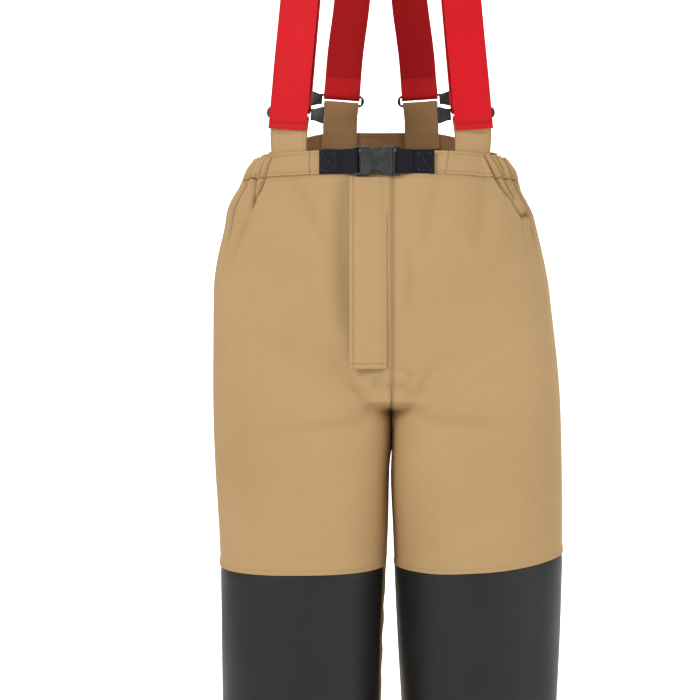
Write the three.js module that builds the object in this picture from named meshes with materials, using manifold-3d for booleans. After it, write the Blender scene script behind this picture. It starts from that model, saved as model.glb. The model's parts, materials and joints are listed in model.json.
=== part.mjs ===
// Firefighter bunker trousers with H-back suspenders, standing on their hems as worn.
// Millimetres, +Z up, the front faces -Y, and left and right are the wearer's, so left is +X.
// The origin is on the floor, below the middle of the whole.
import * as THREE from 'three';
import { ParametricGeometry } from 'three/addons/geometries/ParametricGeometry.js';
import { RoundedBoxGeometry } from 'three/addons/geometries/RoundedBoxGeometry.js';
import { mergeVertices } from 'three/addons/utils/BufferGeometryUtils.js';
import Module from 'manifold-3d';

const wasm = await Module();
wasm.setup();
const { clamp, degToRad, lerp, smoothstep } = THREE.MathUtils;

// ---- Driving sizes ----
const INSEAM = 750;
const FRONT_RISE = 327; // crotch to the top of the front waistband
const BACK_LIFT = 54; // how much higher the back of the waist is than the front
const BAND = 30; // height of the waistband
const WAIST_HALF_WIDTH = 170;
const HIP_HALF_WIDTH = 222;
const THIGH_HALF_WIDTH = 112; // of one leg
const KNEE_HALF_WIDTH = 103;
const HEM_HALF_WIDTH = 88;
const WAIST_HALF_DEPTH = 117;
const FLY_BULGE = 9; // how far the front of the hip stands ahead of the waist
const SEAT_BULGE = 33; // and the seat behind it
const LEG_LEAN = 13; // the relaxed stance carries the knees this far to the wearer's left
const RIGHT_LEG_TWIST = 13; // degrees the right leg has turned its inseam to the front
const FLY_SEAM = 14; // the middle seam of the front runs this far to the left, beside the fly's flap
const CLOTH = 2;
const BAND_CLOTH = 3;
const SEAM = 0.9; // gap along a seam
const AIR = 0.35; // gap between a layer and the next

const KNEE_SEAM = 546; // height of the seam above the black lower leg panel
const KNEE_SEAM_RISE = 16; // the left leg's seam climbs this much to the side
const KNEE_SEAM_DIP = 2; // and both dip this much in the middle of the front
const CUFF = 45;
const CUFF_CLOTH = 3.6;
const TRIM_WIDTH = 76;
const TRIM_HEIGHT = 112; // lower edge of the reflective band
const TRIM_CLOTH = 1.2;
const KNEE_PAD_HEIGHT = 190;
const KNEE_PAD_THICK = 4;
const BARRIER_DEPTH = 9; // moisture barrier's distance inside the shell
const BARRIER_CLOTH = 0.8;
const LINER_DEPTH = 14.5;
const LINER_CLOTH = 3;
const LINER_SHORT = 60; // the liner ends this far above the hem
const LINER_TOP = 0.97; // and at this share of the rise
const ELASTIC = 1.2;

const FLAP_WIDTH = 47.5;
const FLAP_EDGE = 8.5; // the sewn edge's distance to the left of the middle
const FLAP_LENGTH = 238;
const HOOK_WIDTH = 25;
const HOOK_PILE = 1.2;

const WEBBING = 50; // width of the suspenders
const WEBBING_THICK = 2;
const TAB_WIDTH = 48;
const TAB_CLOTH = 1.8;
const FRONT_TAB_RISE = 44; // height of a clip's lower bar above the waistband
const BACK_TAB_RISE = 37;
const TAB_ROOT = 24; // length of a tab sewn inside the waistband
const FRONT_TAB_SPREAD = WAIST_HALF_WIDTH - 56; // a clip's middle from the trousers' middle
const BACK_TAB_SPREAD = 54;
const BAR = 1.8; // half the thickness of a clip's bars
const BAR_PITCH = 13;
const SLOT_PLAY = 2; // between the webbing's edge and the clip's ends
const CLIP_END = 4.5;
const CLIP_GRIP = 13; // length of the flared thumb grip
const GRIP_FLARE = 2.5;
const CLIP_MOUTH = 2.4; // opening in the lower bar that the tab slips out through
const CLIP_ROCK = 6; // degrees a clip rocks either way before its loops stop it
const STRAP_PLAY = 2.4; // of a bar in the strap's loop
const TAB_PLAY = 1.2;
const FRONT_YAW = 13; // degrees the front straps face outward
const FRONT_SLANT = 5; // degrees they lean in towards the neck
const BACK_SLANT = 4;
const SHOULDER_TOP = 433; // top of the straps above the front waistband
const SHOULDER_SPREAD = 72;
const STRAIGHT = 285; // straight run of a front strap above its clip
const BAND_SPREAD = 38; // the straps' distance from the middle at the cross band
const BAND_RISE = 312; // of the cross band above the front waistband
const BAND_HEIGHT = 60;
const BACK_TAIL = 25; // end of a back strap folded up inside
const TAIL_DROP = 28; // the front tail ends this far below the clip's upper bar
const ADJUSTER_RISE = 190; // of the slide adjuster above the clip's upper bar
const ADJUSTER_TRAVEL = 60;
const ADJUSTER_LENGTH = 34;
const ADJUSTER_WALL = 3;
const SLIDE_BAR = 1.5;
const TAIL_RETURN = 18; // sewn end of the tail behind the adjuster's bar

const BELT = 30; // webbing
const BELT_CLOTH = 1.8;
const BELT_DROP = 15; // from the top of the waistband to the belt's middle
const BELT_LEFT_END = 67;
const BELT_RIGHT_END = -77;
const BELT_RETURN = 17; // the webbing's end folded back round its bar
const HOUSING_LENGTH = 47;
const HOUSING_SHOULDER = 3; // the housing's edge beyond the webbing
const HOUSING_HEIGHT = BELT + 2 * HOUSING_SHOULDER;
const HOUSING_THICK = 11;
const HOUSING_WALL = 2;
const HOUSING_MOUTH = 14.5; // place of the housing's open end
const HOUSING_CAVITY = 36; // depth of the space inside it
const BELT_SLOT = 4.4;
const BELT_BAR = 3;
const WINDOW_RADIUS = 11;
const WINDOW_DEPTH = 6;
const BUCKLE_TRAVEL = 24;
const ARM_PRESS = 8; // degrees
const TONGUE = 7;
const ARM_WIDTH = 5;
const FIT = 0.4; // gap between the buckle's pieces

const CHORD = 10; // grid steps across one quarter of the trousers
const ROWS = 26;

// ---- Materials ----
const finish = (color, roughness, metalness = 0) =>
  new THREE.MeshStandardMaterial({ color, roughness, metalness });
const TAN = 0xc9a671;
const BLACK = 0x353637;
const RED = 0xe02c38;
const NAVY = 0x23252f;
const PLASTIC = 0x3b3c3c;
const LIME = 0xd7e64a;
const LINER = 0xcbb98a;
const BARRIER = 0xe8e2d0;
const FOAM = 0x8f8f86;
const ELASTIC_WHITE = 0xded8c8;
const STEEL = 0xb8b8b4;

const part = new THREE.Group();
function add(name, geometry, material) {
  const mesh = new THREE.Mesh(geometry, material);
  mesh.name = name;
  part.add(mesh);
  return mesh;
}

// ---- Sheets: a surface given its thickness, as one closed body ----
function signedVolume(positions, faces) {
  const [a, b, c] = [new THREE.Vector3(), new THREE.Vector3(), new THREE.Vector3()];
  let volume = 0;
  for (let i = 0; i < faces.length; i += 3) {
    a.fromArray(positions, 3 * faces[i]);
    b.fromArray(positions, 3 * faces[i + 1]);
    c.fromArray(positions, 3 * faces[i + 2]);
    volume += a.dot(b.cross(c)) / 6;
  }
  return volume;
}

function sheet(surface, across, along, thickness) {
  const grid = new ParametricGeometry((u, v, at) => at.copy(surface(u, v)), across, along);
  grid.deleteAttribute('normal');
  grid.deleteAttribute('uv');
  const skin = mergeVertices(grid, 1e-3);
  skin.computeVertexNormals();
  const count = skin.attributes.position.count;
  const at = skin.attributes.position.array;
  const normal = skin.attributes.normal.array;
  const positions = new Float32Array(6 * count);
  for (let i = 0; i < 3 * count; i++) {
    positions[i] = at[i] + (normal[i] * thickness) / 2;
    positions[3 * count + i] = at[i] - (normal[i] * thickness) / 2;
  }
  const faces = [];
  const edges = new Map();
  const skinFaces = skin.index.array;
  for (let i = 0; i < skinFaces.length; i += 3) {
    const corner = [skinFaces[i], skinFaces[i + 1], skinFaces[i + 2]];
    if (new Set(corner).size < 3) continue;
    faces.push(...corner, corner[2] + count, corner[1] + count, corner[0] + count);
    corner.forEach((from, k) => {
      const to = corner[(k + 1) % 3];
      if (!edges.delete(to + ',' + from)) edges.set(from + ',' + to, [from, to]);
    });
  }
  for (const [from, to] of edges.values())
    faces.push(to, from, from + count, to, from + count, to + count);
  if (signedVolume(positions, faces) < 0) faces.reverse();
  return new THREE.BufferGeometry()
    .setAttribute('position', new THREE.BufferAttribute(positions, 3))
    .setIndex(faces);
}

// ---- Cutting and joining hard parts ----
function solid(geometry) {
  const bare = geometry.clone();
  bare.deleteAttribute('normal');
  bare.deleteAttribute('uv');
  const merged = mergeVertices(bare, 1e-4);
  return new wasm.Manifold(
    new wasm.Mesh({
      numProp: 3,
      vertProperties: merged.attributes.position.array,
      triVerts: new Uint32Array(merged.index.array),
    }),
  );
}

function geometryOf(made) {
  const mesh = made.getMesh();
  return new THREE.BufferGeometry()
    .setAttribute('position', new THREE.BufferAttribute(mesh.vertProperties, 3))
    .setIndex(new THREE.BufferAttribute(mesh.triVerts, 1));
}

// ---- The body of the trousers ----
// A level runs from -1 at the hem through 0 at the crotch and 1 at the waistband's seam to 2 at its top.
// A girth runs from 0 at the middle of the front, or the inseam, over the side at 0.5, to 1 at the back.
const CUFF_LEVEL = CUFF / INSEAM - 1;
const LEG_CHART = [
  { level: -1, gap: 26, width: HEM_HALF_WIDTH, front: 80, back: 86 },
  { level: CUFF_LEVEL, gap: 26, width: HEM_HALF_WIDTH, front: 80, back: 86 },
  { level: -0.5, gap: 14, width: KNEE_HALF_WIDTH, front: 95, back: 100 },
  { level: -0.15, gap: 4, width: lerp(THIGH_HALF_WIDTH, KNEE_HALF_WIDTH, 0.2), front: 110, back: 118 },
  { level: 0, gap: CLOTH / 2 + AIR, width: THIGH_HALF_WIDTH, front: 116, back: 128 },
];
const BODY_CHART = [
  { level: 0, width: HIP_HALF_WIDTH + 2, front: WAIST_HALF_DEPTH + FLY_BULGE - 2, back: WAIST_HALF_DEPTH + SEAT_BULGE },
  { level: 0.5, width: HIP_HALF_WIDTH - 2, front: WAIST_HALF_DEPTH + FLY_BULGE, back: WAIST_HALF_DEPTH + SEAT_BULGE },
  { level: 0.84, width: lerp(HIP_HALF_WIDTH, WAIST_HALF_WIDTH, 0.42), front: WAIST_HALF_DEPTH + 6, back: WAIST_HALF_DEPTH + 17 },
  { level: 1, width: lerp(HIP_HALF_WIDTH, WAIST_HALF_WIDTH, 0.85), front: WAIST_HALF_DEPTH + 3, back: WAIST_HALF_DEPTH + 4 },
  { level: 2, width: WAIST_HALF_WIDTH, front: WAIST_HALF_DEPTH, back: WAIST_HALF_DEPTH - 2 },
];

// A measurement between the chart's rows, on a smooth curve that doesn't overshoot them.
function measure(chart, key, level) {
  const last = chart.length - 1;
  const at = clamp(level, chart[0].level, chart[last].level);
  const i = clamp(chart.findIndex((row) => row.level >= at) - 1, 0, last - 1);
  const slope = (k) =>
    (chart[k + 1][key] - chart[k][key]) / (chart[k + 1].level - chart[k].level);
  const tangent = (k) => {
    if (k === 0) return slope(0);
    if (k === last) return slope(last - 1);
    const [before, after] = [slope(k - 1), slope(k)];
    return before * after <= 0 ? 0 : (2 * before * after) / (before + after);
  };
  const span = chart[i + 1].level - chart[i].level;
  const t = (at - chart[i].level) / span;
  const [t2, t3] = [t * t, t * t * t];
  return (
    (2 * t3 - 3 * t2 + 1) * chart[i][key] +
    (t3 - 2 * t2 + t) * span * tangent(i) +
    (3 * t2 - 2 * t3) * chart[i + 1][key] +
    (t3 - t2) * span * tangent(i + 1)
  );
}

const power = (value, exponent) => Math.sign(value) * Math.abs(value) ** exponent;
const SQUARENESS = 0.88; // exponent of the sections: 1 is an ellipse
const FLAT_FRONT = 0.55; // the same beside the front of the crotch, where the cloth lies flat
const FRONT_CROTCH = 0.15; // level where the front of the crotch curve becomes upright
const BACK_CROTCH = 0.44;
const FRONT_JOIN = 0.36; // level where the two thighs have become one body, in front and behind
const BACK_JOIN = 0.7;

function seamHeight(girth) {
  return INSEAM + FRONT_RISE - BAND + BACK_LIFT * smoothstep(girth, 0.48, 0.92);
}

function heightAt(girth, level) {
  if (level <= 0) return INSEAM * (1 + level);
  if (level <= 1) return lerp(INSEAM, seamHeight(girth), level);
  return seamHeight(girth) + (level - 1) * BAND;
}

function stance(height) {
  return LEG_LEAN * smoothstep(INSEAM + FRONT_RISE - 60 - height, 0, 480);
}

// How far the seam lies beyond the stance: beside the fly in front, and running out below and behind.
function seamLean(height, girth) {
  const above = height - INSEAM;
  const atCrotch = FLY_SEAM - stance(INSEAM);
  if (above < 0) return atCrotch * (1 - smoothstep(-above, 0, 110));
  if (girth > 0.5) return atCrotch * (1 - smoothstep(above, 0, 140));
  return FLY_SEAM - stance(height);
}

// A point on the middle of the shell's cloth, or on a smaller copy of it that lies inside.
// Side is 1 for the left half and -1 for the right.
function onTrousers(side, girth, level, inset = 0) {
  const twist = side < 0 ? degToRad(RIGHT_LEG_TWIST) * smoothstep(-level, 0, 0.3) : 0;
  const turn = 2 * Math.PI * girth + twist;
  const legWidth = measure(LEG_CHART, 'width', level) - inset;
  const legDepth = measure(LEG_CHART, Math.sin(turn) > 0 ? 'front' : 'back', level) - inset;
  const legGap = measure(LEG_CHART, 'gap', level) + inset;
  const inFront = Math.sin(turn) > 0 && Math.cos(turn) > 0;
  const square = inFront ? lerp(SQUARENESS, FLAT_FRONT, smoothstep(level, -0.4, 0)) : SQUARENESS;
  const legX = legGap + legWidth * (1 - power(Math.cos(turn), square));
  const legY = -legDepth * power(Math.sin(turn), square);
  const angle = Math.PI * girth;
  const bodyWidth = measure(BODY_CHART, 'width', level) - inset;
  const bodyX = bodyWidth * power(Math.sin(angle), SQUARENESS);
  const bodyDepth = measure(BODY_CHART, girth < 0.5 ? 'front' : 'back', level) - inset;
  const bodyY = -bodyDepth * power(Math.cos(angle), SQUARENESS);
  const crotch = clamp(level / (girth < 0.5 ? FRONT_CROTCH : BACK_CROTCH), 0, 1);
  const atSeam = Math.sqrt(1 - (1 - crotch) ** 2);
  const nearSeam = Math.exp(-((Math.min(girth, 1 - girth) / 0.1) ** 2));
  const legsJoinBy = lerp(FRONT_JOIN, BACK_JOIN, smoothstep(girth, 0.25, 0.75));
  const share = lerp(smoothstep(level, 0, legsJoinBy), atSeam, nearSeam);
  const height = heightAt(girth, level);
  const lifted = height + inset * (1 - smoothstep(Math.abs(level), 0, 0.4));
  const x = Math.max(lerp(legX, bodyX, share), SEAM / 2);
  const lean = seamLean(height, girth) * Math.exp(-((x / 45) ** 2));
  return new THREE.Vector3(side * x + stance(height) + lean, lerp(legY, bodyY, share), lifted);
}

// The same point moved out along the cloth's normal, or in with a negative distance.
function layer(side, girth, level, distance) {
  const step = 0.004;
  const at = onTrousers(side, girth, level);
  const [least, most] = level < 0 ? [-1, 2] : [0, 1]; // a leg's girth runs round and round
  const around = onTrousers(side, Math.min(girth + step, most), level).sub(
    onTrousers(side, Math.max(girth - step, least), level),
  );
  const up = onTrousers(side, girth, Math.min(level + step, 2)).sub(
    onTrousers(side, girth, Math.max(level - step, -1)),
  );
  const out = around.cross(up).multiplyScalar(side).normalize();
  at.addScaledVector(out, distance);
  const middle = stance(at.z) + seamLean(at.z, girth);
  at.x = middle + side * Math.max(side * (at.x - middle), SEAM / 2);
  return at;
}

const SIDES = { left: 1, right: -1 };
const girthGap = SEAM / 2 / (2.6 * HIP_HALF_WIDTH);
const bandGap = SEAM / 2 / BAND;
const waistGap = SEAM / 2 / (FRONT_RISE - BAND);
const levelOf = (height) => height / INSEAM - 1;

// The level of the seam over the black panel, which climbs to the side on the left leg.
function kneeSeamLevel(side, girth) {
  const climb = side > 0 ? KNEE_SEAM_RISE * smoothstep(girth, 0.15, 0.5) : 0;
  const dip = KNEE_SEAM_DIP * Math.sin(2 * Math.PI * Math.min(girth, 0.5)) ** 2;
  return levelOf(KNEE_SEAM + climb - dip);
}

// Rows crowd towards the crotch, where the shape changes fastest.
function crowded(low, high, v) {
  const [from, to] = [low, high].map((level) => power(level, 0.6));
  return power(lerp(from, to, v), 1 / 0.6);
}

const tan = finish(TAN, 0.72);
const black = finish(BLACK, 0.55);

for (const [name, side] of Object.entries(SIDES)) {
  add(
    'shell_front_' + name,
    sheet(
      (u, v) => {
        const girth = lerp(girthGap, 0.5 - girthGap, u);
        return onTrousers(side, girth, crowded(kneeSeamLevel(side, girth), 1 - waistGap, v));
      },
      CHORD,
      ROWS - 6,
      CLOTH,
    ),
    tan,
  );
  add(
    'shell_back_' + name,
    sheet(
      (u, v) => {
        const girth = lerp(0.5 + girthGap, 1 - girthGap, u);
        return onTrousers(side, girth, crowded(CUFF_LEVEL + SEAM / INSEAM, 1 - waistGap, v));
      },
      CHORD,
      ROWS,
      CLOTH,
    ),
    tan,
  );
  add(
    'lower_leg_panel_' + name,
    sheet(
      (u, v) => {
        const girth = lerp(girthGap, 0.5 - girthGap, u);
        const top = kneeSeamLevel(side, girth) - SEAM / INSEAM;
        return onTrousers(side, girth, lerp(CUFF_LEVEL + SEAM / INSEAM, top, v));
      },
      CHORD,
      10,
      CLOTH,
    ),
    black,
  );
  add(
    'cuff_' + name,
    sheet(
      (u, v) => {
        const at = onTrousers(side, u, -1);
        at.z = v * CUFF;
        return at;
      },
      2 * CHORD,
      1,
      CUFF_CLOTH,
    ),
    finish(BLACK, 0.6),
  );
  add(
    'reflective_trim_' + name,
    sheet(
      (u, v) =>
        layer(
          side,
          u,
          levelOf(TRIM_HEIGHT + v * TRIM_WIDTH),
          CLOTH / 2 + 3 * AIR + TRIM_CLOTH / 2,
        ),
      2 * CHORD,
      2,
      TRIM_CLOTH,
    ),
    finish(LIME, 0.4),
  );
  add(
    'knee_pad_' + name,
    sheet(
      (u, v) =>
        layer(
          side,
          lerp(0.1, 0.4, u),
          levelOf(KNEE_SEAM - 20 - KNEE_PAD_HEIGHT * (1 - v)),
          -CLOTH / 2 - 2 * AIR - KNEE_PAD_THICK / 2,
        ),
      6,
      5,
      KNEE_PAD_THICK,
    ),
    finish(FOAM, 0.9),
  );
  // The moisture barrier and the thermal liner hang from the waist, where they lie close.
  const barrierAtWaist = CLOTH / 2 + 2 * AIR + BARRIER_CLOTH / 2;
  const linerAtWaist = barrierAtWaist + BARRIER_CLOTH / 2 + 2 * AIR + LINER_CLOTH / 2;
  for (const [layerName, depth, atWaist, thickness, color] of [
    ['moisture_barrier_', BARRIER_DEPTH, barrierAtWaist, BARRIER_CLOTH, BARRIER],
    ['thermal_liner_', LINER_DEPTH, linerAtWaist, LINER_CLOTH, LINER],
  ])
    add(
      layerName + name,
      sheet(
        (u, v) => {
          const level = crowded(levelOf(LINER_SHORT), LINER_TOP, v);
          const close = smoothstep(level, LINER_TOP - 0.11, LINER_TOP - 0.01);
          const girth = lerp(2 * girthGap, 1 - 2 * girthGap, u);
          return onTrousers(side, girth, level, lerp(depth, atWaist, close));
        },
        2 * CHORD,
        ROWS - 8,
        thickness,
      ),
      finish(color, 0.85),
    );
}

// ---- Waistband: two flat fronts, two gathered elastic sides and the high back ----
const BAND_FRONT_END = 0.33;
const BAND_BACK_START = 0.67;
const bandLevel = (v) => lerp(1 + bandGap, 2, v);
for (const [name, side] of Object.entries(SIDES)) {
  add(
    'waistband_front_' + name,
    sheet(
      (u, v) => onTrousers(side, lerp(girthGap, BAND_FRONT_END - girthGap, u), bandLevel(v)),
      7,
      1,
      BAND_CLOTH,
    ),
    tan,
  );
  add(
    'waistband_side_' + name,
    sheet(
      (u, v) =>
        onTrousers(
          side,
          lerp(BAND_FRONT_END + girthGap, BAND_BACK_START - girthGap, u),
          bandLevel(v),
        ),
      7,
      1,
      BAND_CLOTH,
    ),
    tan,
  );
  add(
    'waist_elastic_' + name,
    sheet(
      (u, v) =>
        layer(
          side,
          lerp(BAND_FRONT_END + 0.02, BAND_BACK_START - 0.02, u),
          lerp(1.15, 1.85, v),
          -BAND_CLOTH / 2 - 3 * AIR - ELASTIC / 2,
        ),
      7,
      1,
      ELASTIC,
    ),
    finish(ELASTIC_WHITE, 0.8),
  );
}
add(
  'waistband_back',
  sheet(
    (u, v) => {
      const side = u < 0.5 ? -1 : 1;
      const girth = 1 - Math.abs(2 * u - 1) * (1 - BAND_BACK_START - girthGap);
      const at = onTrousers(side, girth, bandLevel(v));
      if (u === 0.5) at.x = stance(at.z);
      return at;
    },
    14,
    1,
    BAND_CLOTH,
  ),
  tan,
);

// ---- Fly: flap sewn along its left edge, touch fastener behind it, underlap inside ----
const WAIST_TOP = INSEAM + FRONT_RISE;
const FLAP_TOP = WAIST_TOP - BELT_DROP - HOUSING_HEIGHT / 2 - 2;
const flyLevel = (height) => (height - INSEAM) / (FRONT_RISE - BAND);
// The foremost point of the front at a height, for what lies over the fly.
function flyFront(height) {
  const level = Math.min(flyLevel(height), 1);
  return Math.min(...[0.01, 0.08, 0.14].map((girth) => onTrousers(-1, girth, level).y));
}
const HOOK_LAYER = CLOTH / 2 + AIR + HOOK_PILE / 2;
const LOOP_LAYER = HOOK_LAYER + HOOK_PILE + 2 * AIR;
const FLAP_LAYER = LOOP_LAYER + HOOK_PILE / 2 + 3 * AIR + CLOTH / 2;
function flyStrip(left, width, margin, distance, thickness) {
  return sheet(
    (u, v) => {
      const low = FLAP_TOP - FLAP_LENGTH;
      const height = clamp(lerp(low, FLAP_TOP, v), low + margin, FLAP_TOP - margin);
      return new THREE.Vector3(left + u * width, flyFront(height) - distance, height);
    },
    3,
    12,
    thickness,
  );
}
const flapLeft = FLAP_EDGE - FLAP_WIDTH;
const stripLeft = flapLeft + 5;
add('fly_flap', flyStrip(flapLeft, FLAP_WIDTH, 0, FLAP_LAYER, CLOTH), tan);
add('fly_hook_strip', flyStrip(stripLeft, HOOK_WIDTH, 12, HOOK_LAYER, HOOK_PILE), black);
add('fly_loop_strip', flyStrip(stripLeft, HOOK_WIDTH, 12, LOOP_LAYER, HOOK_PILE), black);
add(
  'fly_underlap',
  sheet(
    (u, v) => {
      const height = FLAP_TOP - 44 - (1 - v) * (FLAP_LENGTH - 76);
      const at = layer(1, 0.004 + 0.045 * u, flyLevel(height), -6);
      return at;
    },
    3,
    8,
    1.5,
  ),
  tan,
);

// ---- Ribbons: webbing and cloth loops laid along a run of points ----
// Each stop of a run has a place and the direction of the ribbon's width there.
function ribbon(stops, width, thickness, across = 1) {
  const last = stops.length - 1;
  return sheet(
    (u, v) => {
      const stop = stops[Math.round(v * last)];
      return stop.at.clone().addScaledVector(stop.across, (u - 0.5) * width);
    },
    across,
    last,
    thickness,
  );
}

// A clip's own frame: W along its bars, T up the strap, N from the wearer's front to their back.
function clipFrame(side, spread, y, z, slant, yaw) {
  const up = new THREE.Vector3(-side * Math.sin(degToRad(slant)), 0, Math.cos(degToRad(slant)));
  const wide = new THREE.Vector3(Math.cos(degToRad(yaw)), side * Math.sin(degToRad(yaw)), 0);
  wide.addScaledVector(up, -wide.dot(up)).normalize();
  const back = up.clone().cross(wide);
  const origin = new THREE.Vector3(side * spread, y, z);
  const at = (w, n, t) =>
    origin
      .clone()
      .addScaledVector(wide, w)
      .addScaledVector(back, n)
      .addScaledVector(up, t);
  const stop = (n, t) => ({ at: at(0, n, t), across: wide });
  const place = new THREE.Matrix4().makeBasis(wide, up, back.clone().negate()).setPosition(origin);
  return { side, wide, up, back, origin, at, stop, place };
}

const loopRadius = BAR + STRAP_PLAY + WEBBING_THICK / 2;
const pitch = WEBBING_THICK + AIR;
const LOOP_CLOSE = 26; // a strap's loop closes this far above its bar

// Half a turn under a bar, from the front of it to the back, or the other way.
function halfTurn(frame, radius, low, fromFront) {
  return Array.from({ length: 9 }, (_, i) => {
    const angle = (Math.PI * i) / 8;
    const n = -radius * Math.cos(angle) * (fromFront ? 1 : -1);
    return frame.stop(n, low - radius * Math.sin(angle));
  });
}

// The loop's inner leg closes onto the outer one over this run, ending at a height t.
function closingLeg(frame, top) {
  const heights = [4, 8, 12, 16, 20, LOOP_CLOSE, top].filter((t, i) => i < 6 || t > LOOP_CLOSE + 1);
  return heights.map((t) =>
    frame.stop(lerp(-loopRadius, loopRadius - pitch, smoothstep(t, 0, LOOP_CLOSE)), t),
  );
}

function bend(from, to, steps) {
  const reach = from.at.distanceTo(to.at) * 0.42;
  const curve = new THREE.CubicBezierCurve3(
    from.at,
    from.at.clone().addScaledVector(from.heading, reach),
    to.at.clone().addScaledVector(to.heading, -reach),
    to.at,
  );
  return Array.from({ length: steps - 1 }, (_, i) => {
    const t = (i + 1) / steps;
    const heading = curve.getTangent(t);
    const across = from.across.clone().lerp(to.across, smoothstep(t, 0, 1));
    across.addScaledVector(heading, -across.dot(heading)).normalize();
    return { at: curve.getPoint(t), across };
  });
}

const X = new THREE.Vector3(1, 0, 0);
const Y = new THREE.Vector3(0, 1, 0);
const Z = new THREE.Vector3(0, 0, 1);
const tabRadius = BAR + TAB_PLAY + TAB_CLOTH / 2;
const tabLayer = BAND_CLOTH / 2 + 3 * AIR + TAB_CLOTH / 2;

// The girth where the waist lies at a distance from the middle, at the front or the back.
function girthAt(spread, back, level = 2) {
  const share = (spread / measure(BODY_CHART, 'width', level)) ** (1 / SQUARENESS);
  const girth = Math.asin(share) / Math.PI;
  return back ? 1 - girth : girth;
}

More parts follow.
